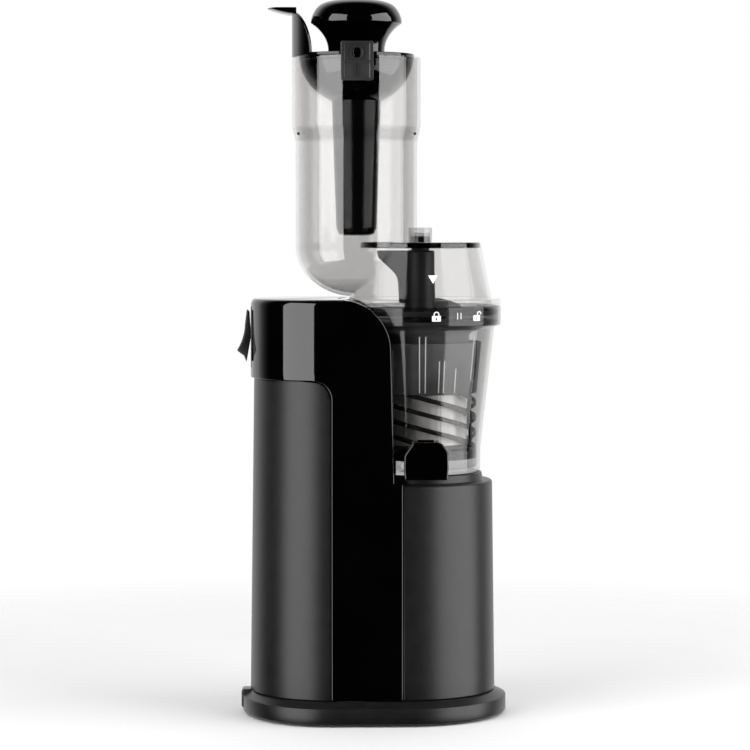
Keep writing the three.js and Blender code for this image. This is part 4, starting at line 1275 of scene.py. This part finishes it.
def camera():
    data = bpy.data.cameras.new("camera")
    data.lens = LENS
    data.sensor_width = 36.0
    data.shift_y = CAMERA_SHIFT
    obj = bpy.data.objects.new("camera", data)
    bpy.context.collection.objects.link(obj)
    aimed(obj, CAMERA_AT, CAMERA_TARGET)
    bpy.context.scene.camera = obj


def area_light(name, width, height, radiance, position, target):
    """A light panel that doesn't show itself."""
    data = bpy.data.lights.new(name, "AREA")
    data.shape = "RECTANGLE"
    data.size = width
    data.size_y = height
    data.energy = radiance * math.pi * width * height
    obj = bpy.data.objects.new(name, data)
    bpy.context.collection.objects.link(obj)
    aimed(obj, position, target)
    obj.visible_camera = False
    return obj


def softbox(name, degrees, width, radiance):
    """Tall light panel; degrees counts from the front towards +X."""
    a = math.radians(degrees)
    position = (SOFTBOX_AWAY * math.sin(a), -SOFTBOX_AWAY * math.cos(a), SOFTBOX_Z)
    area_light(name, width, SOFTBOX_HEIGHT, radiance, position, (0, 0, SOFTBOX_Z))


def overhead():
    """Wide light above that keeps the floor evenly pale; glossy faces don't mirror it."""
    light = area_light("overhead", OVERHEAD_SIZE, OVERHEAD_SIZE, 1.1, (0, 0.2, 2.6), (0, 0.2, 0))
    light.visible_glossy = False


def surroundings():
    """White to the camera; to everything else dark, but for white that fades in behind the object."""
    world = bpy.data.worlds.new("studio")
    bpy.context.scene.world = world
    g = Graph("studio", world)
    split = g.add("ShaderNodeSeparateXYZ")
    g.feed(g.place("Generated"), split.inputs["Vector"])
    fade = g.math("POWER", g.ramp(split.outputs["Y"], 0.0, 1.0, 0.12, 0.66), 3.0)
    tones = []
    for grey in (0.002, 1.0):
        tone = g.add("ShaderNodeBackground")
        tone.inputs["Color"].default_value = (grey, grey, grey, 1)
        tones.append(tone.outputs["Background"])
    dark, bright = tones
    paths = g.add("ShaderNodeLightPath")
    seen = g.mix(paths.outputs["Is Camera Ray"], g.mix(fade, dark, bright), bright)
    g.feed(seen, g.add("ShaderNodeOutputWorld").inputs["Surface"])


def studio():
    overhead()
    softbox("left_softbox", -50, 1.17, 4.7)
    softbox("right_softbox", 69, 1.45, 4.5)
    surroundings()
    bpy.context.scene.view_settings.view_transform = "Standard"


def floor():
    """Pale disc that thins out towards its rim, so that it has no visible edge."""
    ring = [(x, y, -0.0001) for x, y in circle(0, 0, FLOOR_R, 96)]
    obj = mesh_object("floor", ring, [tuple(range(len(ring)))])
    g = Graph("pale_floor")
    shader = g.add("ShaderNodeBsdfPrincipled")
    g.feed(g.blend(g.noise(3.0), *pair(0.69, 0.71)), shader.inputs["Base Color"])
    shader.inputs["Roughness"].default_value = 0.9
    shader.inputs["Specular IOR Level"].default_value = 0.1
    from_middle = g.add("ShaderNodeVectorMath", operation="LENGTH")
    g.feed(g.place(), from_middle.inputs[0])
    thin = g.ramp(from_middle.outputs["Value"], 0.0, 1.0, *FLOOR_FADE)
    through = g.add("ShaderNodeBsdfTransparent")
    g.finish(g.mix(thin, shader.outputs["BSDF"], through.outputs["BSDF"]))
    obj.data.materials.append(LOOKS["pale_floor"])
    obj.visible_glossy = False


def build():
    build_materials()
    plinth()
    feet()
    cord_inlet()
    left_shell()
    right_shell()
    front_cover()
    rear_cover()
    cradle_wall()
    rocker_bezel()
    rocker()
    bowl()
    spout_cap()
    strainer()
    wiper()
    auger()
    lid()
    lid_gasket()
    gate()
    pusher()
    marks()
    carried_parts()
    floor()
    studio()
    camera()


build()
